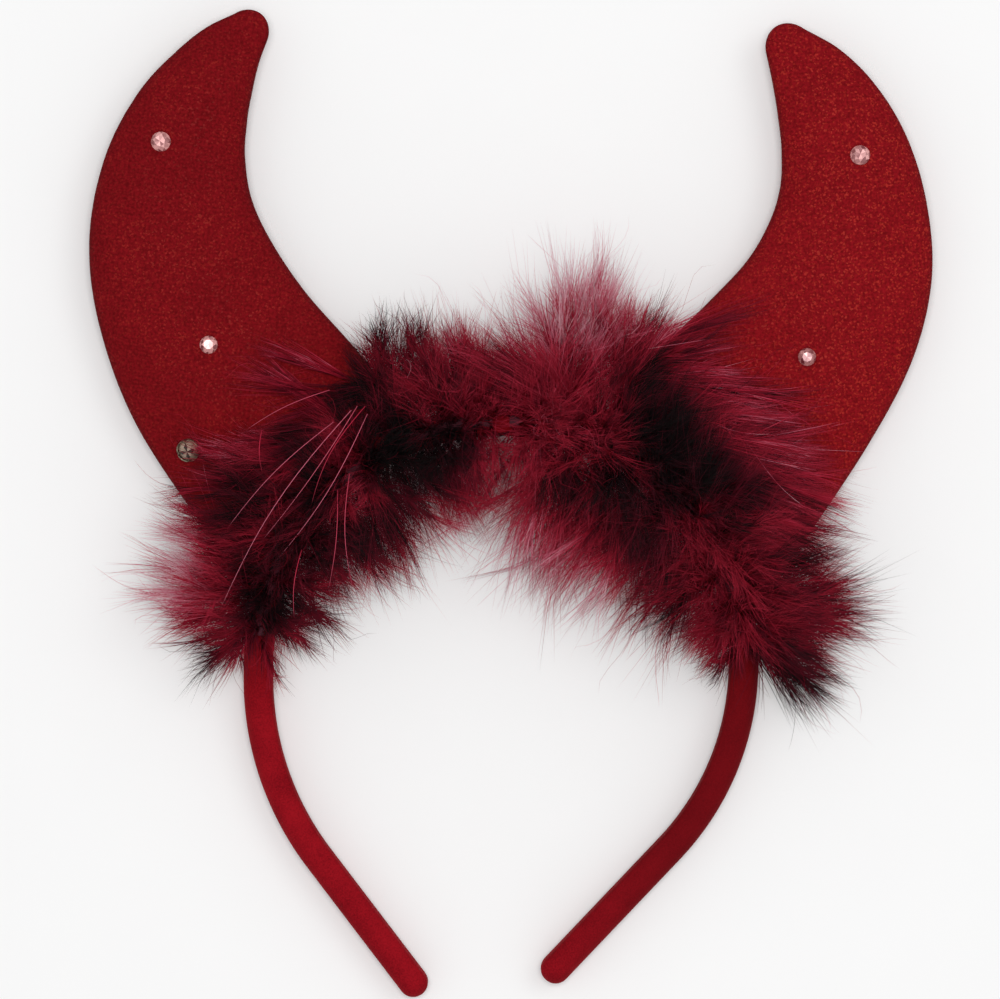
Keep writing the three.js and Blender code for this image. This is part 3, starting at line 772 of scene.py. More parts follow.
def plume_roots(side, settings, rng):
    """Where the plumes of a strip start, the way each points, its length, the way that it curls, how widely
    its barbs stand and how much lighter it is. Plumes are strewn evenly along the cord and round its fan,
    and the tufts add their own."""
    horn, band, trim = settings.horn, settings.band, settings.trim
    count = trim.plumes_left if side == "left" else trim.plumes_right
    low, high = np.radians(TRIM_ANGLES[side])
    place = (np.arange(count) + rng.random(count)) / count
    rows = {name: smooth_at(column, place) for name, column in TRIM_ROWS[side].items()}
    angle = low + place * (high - low)
    turn = (np.arange(count) * GOLDEN_TURN) % 1
    fan = np.radians(-rows["tuck"] + turn * (180 + BACK_TUCK + rows["tuck"]))
    sideways = np.where(np.cos(fan) > 0, rows["over"], rows["under"])
    reach = trim.plume_length * (sideways * np.cos(fan) ** 2 + rows["rise"] * np.sin(fan) ** 2)
    reach = reach * rng.uniform(*PLUME_REACH, count)
    sweep = np.radians(rows["sweep"] + rng.normal(0, PLUME_SWEEP, count))

    tufts = TUFTS[side]
    which = np.repeat(np.arange(len(tufts["count"])), tufts["count"].astype(int))
    extra = len(which)
    more = {name: column[which] for name, column in tufts.items()}
    tuft_angle = np.radians(more["angle"] + more["spread"] * rng.uniform(-1, 1, extra))
    tuft_fan = np.radians(more["lift"] + rng.normal(0, TUFT_LIFT, extra))
    tuft_sweep = np.radians(more["sweep"] + rng.normal(0, TUFT_SWEEP, extra))
    tuft_reach = trim.plume_length * more["reach"] * rng.uniform(*TUFT_REACH, extra)
    tuft_off = trim.plume_length * more["off"] * rng.uniform(*TUFT_OFF, extra)
    uneven = np.minimum(rng.normal(0, TUFT_SHIFT, extra), TUFT_PALEST)

    angle = np.concatenate([angle, tuft_angle])
    fan = np.concatenate([fan, tuft_fan])
    sweep = np.concatenate([sweep, tuft_sweep])
    reach = np.concatenate([reach, tuft_reach])
    off = np.concatenate([np.zeros(count), tuft_off])
    spread = np.concatenate([np.ones(count), more["open"]])
    shift = np.concatenate([rng.normal(0, PLUME_SHIFT, count), more["shift"] + uneven])
    out, down = outward(side, angle), downward(side, angle)
    root = cord_place(side, angle, horn, band, trim) + out * off[:, None]
    way = out * (np.cos(fan) * np.cos(sweep))[:, None] + FRONT * (np.sin(fan) * np.cos(sweep))[:, None]
    way = way + down * np.sin(sweep)[:, None]
    curl = down * rng.normal(0, CURL_DOWN, len(root))[:, None] + rng.normal(0, CURL_ANY, (len(root), 3))
    order = np.argsort(angle)
    return root[order], unit(way)[order], reach[order], curl[order], spread[order], shift[order]


def quill_line(root, way, reach, curl, places):
    """Points on the plumes' quills: straight on by the length, and aside by the curl times the square."""
    along = places[..., None]
    return root[:, None] + reach[:, None, None] * (way[:, None] * along + curl[:, None] * along**2)


def barb_lines(root, way, reach, curl, spread, strands, strand_barbs, rng):
    """The barbs of the plumes as lines of points. A barb leaves its quill at an angle that closes towards
    the tip and bends back along it. Barbs cling together in strands, which share their place, angle and
    length and differ a little."""
    plumes = len(root)
    shape = (plumes, strands, strand_barbs)

    def drawn(wide, apart):
        return (rng.normal(0, wide, (*shape[:2], 1)) + rng.normal(0, apart, shape)).reshape(plumes, -1)

    evenly = (np.arange(strands) + rng.random(shape[:2])) / strands
    place = LAST_STRAND * evenly[..., None] + rng.normal(0, PLACE_SCATTER, shape)
    place = np.clip(place, 0, 1).reshape(plumes, -1)
    roll = np.repeat(math.pi * (np.arange(strands) % 2), strand_barbs) + drawn(*ROLL_SCATTER)
    start = quill_line(root, way, reach * BARBED_LENGTH, curl, place)
    start = start + rng.normal(0, ROOT_SCATTER, start.shape)
    heading = unit(way[:, None] + 2 * curl[:, None] * place[..., None])
    first = unit(np.cross(heading, rng.normal(size=(plumes, 1, 3))))
    second = np.cross(heading, first)
    aside = first * np.cos(roll)[..., None] + second * np.sin(roll)[..., None]
    spread = spread[:, None]
    angle = (BARB_ANGLE - ANGLE_CLOSING * place + drawn(*ANGLE_SCATTER)) * spread
    angle = np.radians(np.clip(angle, *ANGLE_LIMITS))[..., None]
    uneven = np.clip(np.exp(drawn(*LENGTH_SCATTER)), *LENGTH_LIMITS)
    long = (reach[:, None] * (BARB_LENGTH - LENGTH_FALL * place) * uneven)[..., None, None]
    leave = (heading * np.cos(angle) + aside * np.sin(angle))[:, :, None]
    sway = np.stack([drawn(*SWAY_SCATTER) for _ in range(3)], -1) * spread[..., None]
    bend = (BEND_ONWARD * heading - BEND_BACK * spread[..., None] * aside + sway)[:, :, None]
    walked = THREADS["barb"][0][:, None]
    lines = start[:, :, None] + long * (leave * walked + bend * walked**2)
    return lines.reshape(-1, *lines.shape[2:])


def wisp_lines(root, way, reach, curl, wisps, rng):
    """Loose barbs that curl: each leaves its quill at a steep angle and swings round its own straight way
    on a circle that widens with the distance, by a cosine one way and a sine the other."""
    place = rng.uniform(*WISP_PLACES, (len(root), wisps))
    start = quill_line(root, way, reach * BARBED_LENGTH, curl, place).reshape(-1, 3)
    count = len(start)
    aside = unit(rng.normal(size=(count, 3)))
    leave = unit(np.repeat(way, wisps, 0) + WISP_STEEPNESS * aside)
    first = unit(np.cross(leave, rng.normal(size=leave.shape)))
    second = np.cross(leave, first)
    walked = THREADS["wisp"][0]
    phase = rng.uniform(0, 2 * math.pi, (count, 1))
    swing = phase + rng.uniform(*WISP_SWING, (count, 1)) * walked
    width = rng.uniform(*WISP_WIDTH, (count, 1)) * walked
    one_way = ((np.cos(swing) - np.cos(phase)) * width)[..., None] * first[:, None]
    other_way = ((np.sin(swing) - np.sin(phase)) * width)[..., None] * second[:, None]
    long = np.repeat(reach, wisps) * rng.uniform(*WISP_LENGTH, count)
    return start[:, None] + long[:, None, None] * (leave[:, None] * walked[:, None] + one_way + other_way)


def bare_quill_lines():
    """The long bare quills: from root to tip, raised and bowed as a sine of the way along."""
    walked = THREADS["bare_quill"][0][:, None]
    level = np.ones(len(QUILLS["rise"]))
    root = np.stack([QUILLS["root_x"], QUILLS["root_y"], QUILL_ROOT_HEIGHT * level], 1) * MM
    tip = np.stack([QUILLS["tip_x"], QUILLS["tip_y"], QUILL_TIP_HEIGHT * level], 1) * MM
    aside = unit(np.cross(tip - root, FRONT)) * QUILLS["bow"][:, None] * MM
    line = root[:, None] + (tip - root)[:, None] * walked
    return line + np.sin(walked * math.pi) * (aside[:, None] + FRONT * (QUILLS["rise"] * MM)[:, None, None])


def tapered_threads(lines, radius, taper):
    """Closed three-sided threads along lines of points: a triangle across the line at every point but the
    last, smaller by the taper, and a point at the end. Gives points and triangles."""
    count, rings = len(lines), lines.shape[1] - 1
    chord = unit(lines[:, -1] - lines[:, 0])
    first = unit(np.cross(chord, np.array([0.31, 0.43, 0.85])))
    second = np.cross(chord, first)
    turn = np.arange(3) * 2 * math.pi / 3
    round_line = first[:, None] * np.cos(turn)[:, None] + second[:, None] * np.sin(turn)[:, None]
    width = (radius[:, None] * taper)[..., None, None]
    tubes = lines[:, :-1, None] + round_line[:, None] * width
    points = np.concatenate([tubes.reshape(count, -1, 3), lines[:, -1:]], 1)
    k = np.arange(3)
    after = (k + 1) % 3
    low = 3 * np.arange(rings - 1)[:, None]
    sides = np.stack([low + k, low + after, low + 3 + k], -1)
    others = np.stack([low + after, low + 3 + after, low + 3 + k], -1)
    last = 3 * (rings - 1)
    end = np.stack([last + k, last + after, np.full(3, 3 * rings)], -1)
    base = np.array([[0, 2, 1]])
    faces = np.concatenate([sides.reshape(-1, 3), others.reshape(-1, 3), end, base])
    faces = faces + (np.arange(count) * points.shape[1])[:, None, None]
    return points.reshape(-1, 3), faces.reshape(-1, 3)


def thread_map(tones, places):
    """Places on the down's map for threads: across is the tone at each point of the line, kept off the map's
    edges and a little apart for the three corners of a triangle so that each face has some width, and up is
    the way along."""
    tones = np.clip(tones, 0.01, 0.985)
    across_corners = np.array([-0.006, 0, 0.006])
    up_corners = np.array([0, 0.008, 0.0])
    across = tones[:, :-1, None] + across_corners
    up = np.clip(places[:, :-1, None], 0.0, 0.97) + up_corners
    sides = np.stack([across, np.broadcast_to(up, across.shape)], -1)
    tip = np.stack([tones[:, -1:], places[:, -1:]], -1)
    return np.concatenate([sides.reshape(len(tones), -1, 2), tip], 1).reshape(-1, 2)


def stone_shape(radius, height):
    """A flat-backed cut stone standing on its back: an octagonal table, eight star facets, eight kites and
    sixteen facets to the girdle, worked out from rings of eight and sixteen corners. The table is made of
    eight level wedges, so that each can be painted with a reflection of its own, as one facet of the foiled
    back would show. Gives points, faces."""
    step = math.pi / 8
    j, k = np.arange(8), np.arange(16)
    following, after = (j + 1) % 8, (k + 1) % 16

    def ring(angle, out, up):
        level = np.full(len(angle), up * height)
        return np.stack([radius * out * np.cos(angle), radius * out * np.sin(angle), level], 1)

    wide = [ring(k * step, out, up) for out, up in ((0.94, 0), (1, 0.2), (0.99, 0.32))]
    narrow = [ring(j * 2 * step, 0.78, 0.76), ring(j * 2 * step + step, 0.54, 1)]
    points = np.concatenate([*wide, *narrow, [[0, 0, height]]])
    rim, middle, top, centre = 32, 48, 56, 64
    walls = np.concatenate([np.stack([s + k, s + after, s + 16 + after, s + 16 + k], 1) for s in (0, 16)])
    kites = np.stack([top + j, middle + j, rim + 2 * j + 1, middle + following], 1)
    stars = np.stack([top + (j - 1) % 8, middle + j, top + j], 1)
    lower = np.stack([middle + j, rim + 2 * j, rim + 2 * j + 1], 1)
    upper = np.stack([middle + j, rim + (2 * j - 1) % 16, rim + 2 * j], 1)
    wedges = np.stack([top + j, top + following, np.full(8, centre)], 1)
    faces = [*walls, *kites, *stars, *lower, *upper, *wedges, k[::-1]]
    return points, [list(map(int, face)) for face in faces]


def cup_shape(radius, height, around=64, section=12):
    """A thin metal cup round a stone with four small claws: a rounded rim profile turned about the axis,
    which rises at the claws as a narrow bell curve of the angle. Gives points and faces."""
    angle = np.arange(around) * 2 * math.pi / around
    bearing = angle - math.pi / 4
    claw = np.exp(-((np.sin(2 * bearing) / CLAW_WIDTH) ** 2)) * (np.cos(4 * bearing) > 0)
    turn = np.arange(section)[:, None] * 2 * math.pi / section
    claw = claw * (np.sin(turn) > 0)
    out = CUP_OUT + CUP_WALL * np.cos(turn) - CLAW_IN * claw
    up = CUP_UP + CUP_RISE * np.sin(turn) + CLAW_UP * claw
    rings = np.stack([radius * out * np.cos(angle), radius * out * np.sin(angle), height * up], -1)
    k, j = np.arange(around), np.arange(section)[:, None] * around
    after, following = (k + 1) % around, (j + around) % (section * around)
    faces = np.stack([j + k, j + after, following + after, following + k], -1)
    return rings.reshape(-1, 3), faces.reshape(-1, 4)


def cup_glints(points, faces):
    """Painted reflections on the cupped stone's facets: dark but for a bright cross that is paler upwards.
    """
    middles = np.array([points[face].mean(0) for face in faces])
    bearing = np.arctan2(middles[:, 1], middles[:, 0])
    return np.where(np.abs(np.cos(2 * bearing)) < 0.6, 0.03, 0.8 + 0.2 * np.sin(bearing))


# Meshes


def laying_down(settings):
    """How a shape is laid down from the crown's own frame: the tilt about X that the leg pad's axis shows,
    and the move that brings the band to the place of the model's band."""
    axis = next(m["axis"] for m in frame["record"]["mounts"] if m["name"] == "left_leg_pad")
    tilt = math.atan(axis[2] / axis[1])
    turn = np.array([[1, 0, 0], [0, math.cos(tilt), math.sin(tilt)], [0, -math.sin(tilt), math.cos(tilt)]])
    band = band_surface(settings.band, 0.0, *OUTLINE_GRAIN)[0].reshape(-1, 3) @ turn
    low, high = (np.array(corner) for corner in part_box("headband"))
    return turn, (low + high - band.min(0) - band.max(0)) / 2


def make_mesh(name, points, faces, finish, uv=None):
    """A mesh object at the origin from points and lists of faces with equally many corners in each list."""
    faces = [np.asarray(part, np.int32) for part in faces]
    corners = np.concatenate([part.ravel() for part in faces])
    sizes = np.concatenate([np.full(len(part), part.shape[1], np.int32) for part in faces])
    mesh = bpy.data.meshes.new(name)
    mesh.vertices.add(len(points))
    mesh.vertices.foreach_set("co", np.asarray(points, np.float32).ravel())
    mesh.loops.add(len(corners))
    mesh.loops.foreach_set("vertex_index", corners)
    mesh.polygons.add(len(sizes))
    mesh.polygons.foreach_set("loop_start", np.concatenate([[0], np.cumsum(sizes)[:-1]]).astype(np.int32))
    mesh.polygons.foreach_set("use_smooth", np.ones(len(sizes), bool))
    mesh.update(calc_edges=True)
    if uv is not None:
        layer = mesh.uv_layers.new(name=MAP_NAME)
        layer.data.foreach_set("uv", uv[corners].astype(np.float32).ravel())
    if mesh.validate():
        raise RuntimeError(f"{name} has broken faces")
    mesh.materials.append(finish)
    piece = bpy.data.objects.new(name, mesh)
    bpy.context.scene.collection.objects.link(piece)
    return piece


def tube_faces(rows, around):
    """The faces of a skin over rings of points with a point at each end, which follow the rings' points."""
    k = np.arange(around)
    after = (k + 1) % around
    low = around * np.arange(rows - 1)[:, None]
    sides = np.stack([low + k, low + after, low + around + after, low + around + k], -1).reshape(-1, 4)
    last = around * (rows - 1)
    start = np.full(around, rows * around)
    caps = [np.stack([start, after, k], 1), np.stack([start + 1, last + k, last + after], 1)]
    return [sides, np.concatenate(caps)]


def make_tube(name, rings, ends, finish, laid):
    """A closed skin over rings, drawn in to a point at each end, laid down in the model's frame."""
    turn, move = laid
    points = np.concatenate([rings.reshape(-1, 3), *(np.atleast_2d(end) for end in ends)]) @ turn + move
    return make_mesh(name, points, tube_faces(*rings.shape[:2]), finish)


def cut_away(piece, cutters):
    """Cuts solids out of a piece and keeps the result as its mesh."""
    for cutter in cutters:
        modifier = piece.modifiers.new("Cut", "BOOLEAN")
        modifier.operation = "DIFFERENCE"
        modifier.solver = "EXACT"
        modifier.object = cutter
    bpy.context.view_layer.update()
    whole = piece.evaluated_get(bpy.context.evaluated_depsgraph_get())
    mesh = bpy.data.meshes.new_from_object(whole)
    piece.modifiers.clear()
    piece.data = mesh
    mesh.set_sharp_from_angle(angle=SHARP_ANGLE)
    for cutter in cutters:
        bpy.data.objects.remove(cutter)


def place_piece(piece, slot, *nodes):
    """Lets a piece ride on the part and hides the nodes that it stands for. Its slot is not used."""
    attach(piece, "root")
    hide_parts(*nodes)


# Finishes


class Shade:
    """A socket whose sums and products add Math nodes to its finish."""

    def __init__(self, finish, socket):
        self.finish = finish
        self.socket = socket

    def math(self, operation, *values):
        return self.finish.node("ShaderNodeMath", {"operation": operation}, dict(enumerate(values)))

    def __add__(self, other):
        return self.math("ADD", self, other)

    def __rsub__(self, other):
        return self.math("SUBTRACT", other, self)

    def __mul__(self, other):
        return self.math("MULTIPLY", self, other)

    __radd__ = __add__
    __rmul__ = __mul__

    def sine(self):
        return self.math("SINE", self)

    def between(self, low, high):
        """A smooth step from 0 to 1 between two levels."""
        sockets = {"Value": self, "From Min": low, "From Max": high}
        return self.finish.node("ShaderNodeMapRange", {"interpolation_type": "SMOOTHSTEP"}, sockets)


class Finish:
    """A material in the making. node() adds any node and gives back one of its outputs."""

    def __init__(self, name):
        self.material = bpy.data.materials.new(name)
        self.material.use_nodes = True
        self.tree = self.material.node_tree
        self.tree.nodes.clear()

    def node(self, kind, settings=None, sockets=None, output=0):
        made = self.tree.nodes.new(kind)
        for name, value in (settings or {}).items():
            if name == "stops":
                self.set_stops(made.color_ramp, value)
            else:
                setattr(made, name, value)
        for name, value in (sockets or {}).items():
            socket = self.find(made.inputs, name)
            if isinstance(value, Shade):
                self.tree.links.new(value.socket, socket)
            else:
                socket.default_value = value
        return Shade(self, self.find(made.outputs, output)) if made.outputs else None

    @staticmethod
    def find(sockets, name):
        if isinstance(name, int):
            return sockets[name]
        return next(socket for socket in sockets if name in (socket.identifier, socket.name))

    @staticmethod
    def set_stops(ramp, stops):
        while len(ramp.elements) < len(stops):
            ramp.elements.new(1.0)
        for element, (position, colour_there) in zip(ramp.elements, stops):
            element.position = position
            element.color = (*colour_there, 1.0)

    def mix(self, first, second, amount):
        """Two colours mixed by an amount."""
        sockets = {"Factor_Float": amount, "A_Color": first, "B_Color": second}
        return self.node("ShaderNodeMix", {"data_type": "RGBA"}, sockets, "Result_Color")

    def part(self, vector, axis):
        """One coordinate of a vector or colour."""
        return self.node("ShaderNodeSeparateXYZ", None, {"Vector": vector}, axis)

    def place(self, turn=0.0):
        """The place on the object, turned about Z."""
        where = self.node("ShaderNodeTexCoord", output="Object")
        return self.node("ShaderNodeMapping", None, {"Vector": where, "Rotation": (0.0, 0.0, turn)})

    def noise(self, where, scale, detail=2.0):
        """Cloudy noise."""
        sockets = {"Vector": where, "Scale": scale, "Detail": detail}
        return self.node("ShaderNodeTexNoise", None, sockets, "Fac")

    def bump(self, height, strength, distance):
        """The normal of a relief."""
        sockets = {"Height": height, "Strength": strength, "Distance": distance}
        return self.node("ShaderNodeBump", None, sockets)

    def done(self, **sockets):
        """Puts the surface together from the shader's sockets, whose names have spaces for underscores."""
        named = {name.replace("_", " "): value for name, value in sockets.items()}
        surface = self.node("ShaderNodeBsdfPrincipled", None, named)
        self.node("ShaderNodeOutputMaterial", None, {"Surface": surface})
        return self.material


def full(rgb):
    """A colour with its opacity."""
    return (*rgb, 1.0)


def velvet_finish(band):
    """Short velvet pile: cloudy patches where it lies the other way, a fine nap, and darker over the right
    leg.
    """
    finish = Finish("velvet")
    where = finish.place()
    nap = finish.noise(where, 2600.0)
    clouds = finish.noise(where, 130.0, 4.0)
    lie = (0.4 * clouds + 0.6 * nap).between(0.24, 0.7)
    pile = finish.mix(full(band.velvet_dark), full(band.velvet), lie)
    right = finish.part(where, "X").between(0.0, 45 * MM)
    pile = finish.mix(pile, full(band.right_leg), 0.66 * right)
    normal = finish.bump(nap + 0.5 * clouds, 0.5, 0.25 * MM)
    return finish.done(
        Base_Color=pile,
        Roughness=0.92,
        Normal=normal,
        Sheen_Weight=0.12,
        Sheen_Roughness=0.35,
        Sheen_Tint=(1.0, 0.12, 0.14, 1.0),
        Specular_IOR_Level=0.03,
    )


def plush_finish(horn, side):
    """Glittery plush: fine knitted rows in the cloth's own grain, tufts of uneven depth, and sparks. Shade
    is painted in the hollows between the tufts and along the edges, and on the right horn the sparks thicken
    towards the outer side, partly as painted light.
    """
    finish = Finish(f"plush_{side}")
    where = finish.place(-SIGN[side] * math.radians(6))
    across, up = finish.part(where, "X"), finish.part(where, "Y")
    wander = finish.noise(where, 260.0) * 5.0
    columns = (across * (2 * math.pi / (1.15 * MM)) + wander).sine()
    rows = (up * (2 * math.pi / (0.95 * MM)) + wander).sine()
    tufts = finish.noise(where, 1500.0, 3.0)
    clouds = finish.noise(where, 75.0, 3.0)
    cells = finish.node("ShaderNodeTexVoronoi", None, {"Vector": where, "Scale": 2300.0}, "Color")
    spark = finish.part(cells, "X")
    edge = finish.node("ShaderNodeAttribute", {"attribute_name": "edge"}, None, "Fac")
    knit = (columns + rows) * 0.02
    # The plush darkens where its tufts sink and in large clouds: painted shade in the hollows, uneven tone
    # in the clouds.
    depth = (0.85 * tufts + 0.15 * clouds + knit).between(0.24, 0.76)
    if side == "left":
        shade = horn.left_shade
        sparkle = 0.06 + 0.1 * clouds.between(0.4, 0.65)
    else:
        shade = 1.0
        # The sparks thicken towards the right horn's outer side: glitter that the plush has there, and
        # partly painted light, as that side is lit more.
        sparkle = 0.1 + 0.22 * across.between(30 * MM, 105 * MM)
    dark, light = (full(shade * value for value in rgb) for rgb in (horn.pile_hollow_shade, horn.pile))
    pile = finish.mix(dark, light, depth)
    pile = finish.mix(pile, full(horn.glitter), spark.between(0.7, 1.0) * sparkle)
    # Painted shade along the edge and in the seam, where the rounded sides turn away from the light.
    pile = finish.mix(pile, full(horn.edge_painted_shade), 0.4 * edge)
    normal = finish.bump(tufts + 2.0 * knit + 0.3 * spark, 0.5, 0.25 * MM)
    return finish.done(
        Base_Color=pile,
        Roughness=0.86 - 0.4 * spark.between(0.86, 0.98),
        Normal=normal,
        Sheen_Weight=0.06,
        Sheen_Roughness=0.4,
        Sheen_Tint=(1.0, 0.08, 0.08, 1.0),
        Specular_IOR_Level=0.04,
    )


def down_finish():
    """Down of a strip: the map's width gives the tone from black to pale pink, and its height the way
    along a barb, which pales towards the tip."""
    finish = Finish("down")
    where = finish.node("ShaderNodeUVMap", {"uv_map": MAP_NAME})
    tone, along = finish.part(where, "X"), finish.part(where, "Y")
    dye = finish.node("ShaderNodeValToRGB", {"stops": DOWN_STOPS}, {"Fac": tone})
    paler = finish.mix(dye, (0.72, 0.36, 0.43, 1.0), 0.06 * along * along * tone)
    return finish.done(Base_Color=paler, Roughness=0.8, Specular_IOR_Level=0.0)


def thread_finish():
    """The bound cord: wine-coloured thread with a fine twist."""
    finish = Finish("cord_thread")
    fluff = finish.noise(finish.place(), 1800.0, 3.0)
    thread = finish.mix((0.03, 0.004, 0.008, 1.0), (0.12, 0.012, 0.03, 1.0), fluff)
    return finish.done(Base_Color=thread, Roughness=0.9, Normal=finish.bump(fluff, 0.5, 0.2 * MM))


def stone_finish(name, dark, bright, gleam):
    """Foiled glass under a clear hard polish, with painted reflections: each facet is painted bright or dark
    by its own gleam.
    """
    finish = Finish(name)
    facet = finish.node("ShaderNodeAttribute", {"attribute_name": "gleam"}, None, "Fac")
    flaw = finish.noise(finish.place(), 900.0, 1.0)
    light = (facet * gleam + 0.2 * flaw).between(0.1, 0.85)
    foil = finish.mix(full(dark), full(bright), light)
    return finish.done(Base_Color=foil, Metallic=0.2, Roughness=0.35, Coat_Weight=0.15, Coat_Roughness=0.2)


def cup_finish(stone):
    """The metal cup: dull gilt with fine scratches."""
    finish = Finish("cup_metal")
    wear = finish.noise(finish.place(), 1500.0, 4.0)
    metal = finish.mix((0.09, 0.08, 0.06, 1.0), full(stone.metal), wear.between(0.35, 0.6))
    return finish.done(Base_Color=metal, Metallic=0.9, Roughness=0.25 + 0.3 * wear)


def floor_finish(stage):
    """A plain pale floor."""
    finish = Finish("pale_floor")
    grain = finish.noise(finish.place(), 40.0)
    pale = finish.mix(full(stage.floor), full([0.985 * part for part in stage.floor]), grain)
    return finish.done(Base_Color=pale, Roughness=0.9, Specular_IOR_Level=0.1)


# Operators


class HEADBAND_OT_stage(bpy.types.Operator):
    """Lays a plain pale floor, hangs soft lamps and sets the camera straight above the part"""

    bl_idname = "headband.stage"
    bl_label = "Stage"

    def execute(self, context):
        stage = context.scene.headband.stage
        corners = FLOOR_HALF * np.array([[-1, -1, 0], [1, -1, 0], [1, 1, 0], [-1, 1, 0]])
        floor = make_mesh("floor", corners, [[[0, 1, 2, 3]]], floor_finish(stage))
        world = bpy.data.worlds.new("studio")
        world.use_nodes = True
        sky = world.node_tree.nodes["Background"]
        sky.inputs["Color"].default_value = (1.0, 1.0, 1.0, 1.0)
        sky.inputs["Strength"].default_value = stage.sky
        context.scene.world = world
        turn, move = laying_down(context.scene.headband)
        middle = Vector(np.array([stage.aim_x, stage.aim_y, 0]) @ turn + move)
        for name, (x, y, size, part) in LAMPS.items():
            lamp = bpy.data.lights.new(name, "AREA")
            lamp.shape = "DISK"
            lamp.size = size
            lamp.energy = stage.softbox * part
            holder = bpy.data.objects.new(name, lamp)
            holder.location = (x, y, LAMP_HEIGHT)
            holder.rotation_euler = (middle - holder.location).to_track_quat("-Z", "Y").to_euler()
            context.scene.collection.objects.link(holder)
        camera = bpy.data.objects.new("camera", bpy.data.cameras.new("camera"))
        distance = stage.camera_height - SUBJECT_HEIGHT
        camera.data.lens = camera.data.sensor_width * distance / stage.view_width
        camera.location = (middle.x, middle.y, stage.camera_height)
        context.scene.collection.objects.link(camera)
        context.scene.camera = camera
        context.scene.view_settings.view_transform = "Standard"
        return {"FINISHED"}


class HEADBAND_OT_band(bpy.types.Operator):
    """Covers the springy band in velvet"""

    bl_idname = "headband.band"
    bl_label = "Velvet band"

    def execute(self, context):
        settings = context.scene.headband
        rings, ends = band_surface(settings.band, 0.0, *BAND_GRAIN)
        piece = make_tube("velvet_band", rings, ends, velvet_finish(settings.band), laying_down(settings))
        place_piece(piece, "velvet", "headband")
        return {"FINISHED"}


class HEADBAND_OT_horns(bpy.types.Operator):
    """Sews and stuffs the two plush horns and sits them astride the band"""

    bl_idname = "headband.horns"
    bl_label = "Plush horns"

    def execute(self, context):
        settings = context.scene.headband
        horn, band = settings.horn, settings.band
        laid = laying_down(settings)
        for side in SIDES:
            rings, ends, edge = horn_surface(side, horn, band, *HORN_GRAIN)
            finish = plush_finish(horn, side)
            piece = make_tube(f"plush_horn_{side}", rings, ends, finish, laid)
            near = piece.data.attributes.new("edge", "FLOAT", "POINT")
            foot_and_tip = [0, 1]
            near.data.foreach_set("value", np.append(edge.ravel(), foot_and_tip).astype(np.float32))
            slit = make_tube("slit", *band_surface(band, SLIT_MARGIN, *SLIT_GRAIN), finish, laid)
            head = make_tube("head", *head_space(horn, band, HEAD_AROUND), finish, laid)
            cut_away(piece, [head, slit])
            points = np.empty(len(piece.data.vertices) * 3, np.float32)
            piece.data.vertices.foreach_get("co", points)
            points[2::3] = np.maximum(points[2::3], 0.0)
            piece.data.vertices.foreach_set("co", points)
            piece.data.update()
            place_piece(piece, "horn_plush", f"horn_{side}")
        return {"FINISHED"}


class HEADBAND_OT_stones(bpy.types.Operator):
    """Glues the faceted stones on the horns, one of them in a metal cup"""

    bl_idname = "headband.stones"
    bl_label = "Stones"

    def execute(self, context):
        stone = context.scene.headband.stone
        rng = np.random.default_rng(GLINT_SEED)
        for name, row in STONES.items():
            radius = row["size"] * stone.diameter / 2 * (CUPPED_SHARE if row["cup"] else 1)
            points, faces = stone_shape(radius, stone.height)
            turn, move = self.seat(name, row)
            mesh = bpy.data.meshes.new(name)
            mesh.from_pydata((points @ turn + move).tolist(), [], faces)
            glints = rng.uniform(*GLINTS, len(faces))
            dark, bright = stone.shade, stone.foil
            if row["cup"]:
                glints = cup_glints(points, faces)
                dark, bright = stone.smoke_dark, stone.smoke
            gleam = mesh.attributes.new("gleam", "FLOAT", "FACE")
            gleam.data.foreach_set("value", glints.astype(np.float32))
            mesh.materials.append(stone_finish(f"{name}_foil", dark, bright, row["gleam"]))
            piece = bpy.data.objects.new(f"{name}_cut", mesh)
            context.scene.collection.objects.link(piece)
            place_piece(piece, "stone", name)
            if row["cup"]:
                points, faces = cup_shape(radius, stone.height)
                cup = make_mesh(f"{name}_cup", points @ turn + move, [faces], cup_finish(stone))
                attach(cup, "root")
        return {"FINISHED"}

    @staticmethod
    def seat(name, row):
        """How a stone is turned and moved onto its horn: spun about its axis, stood on the surface that a
        ray from above meets, and a drop of glue off it."""
        low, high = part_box(name)
        above = (low + high) / 2 + Vector((0, 0, 0.05))
        horn = bpy.data.objects[f"plush_horn_{row['horn']}"]
        found, seat, normal, _ = horn.ray_cast(above, Vector((0, 0, -1)))
        if not found:
            raise RuntimeError(f"{name} finds no horn under it")
        basis = np.array(normal.to_track_quat("Z", "Y").to_matrix())
        spin = math.radians(row["turn"])
        around = [[math.cos(spin), -math.sin(spin), 0], [math.sin(spin), math.cos(spin), 0], [0, 0, 1]]
        return (basis @ np.array(around)).T, np.array(seat + normal * GLUE)


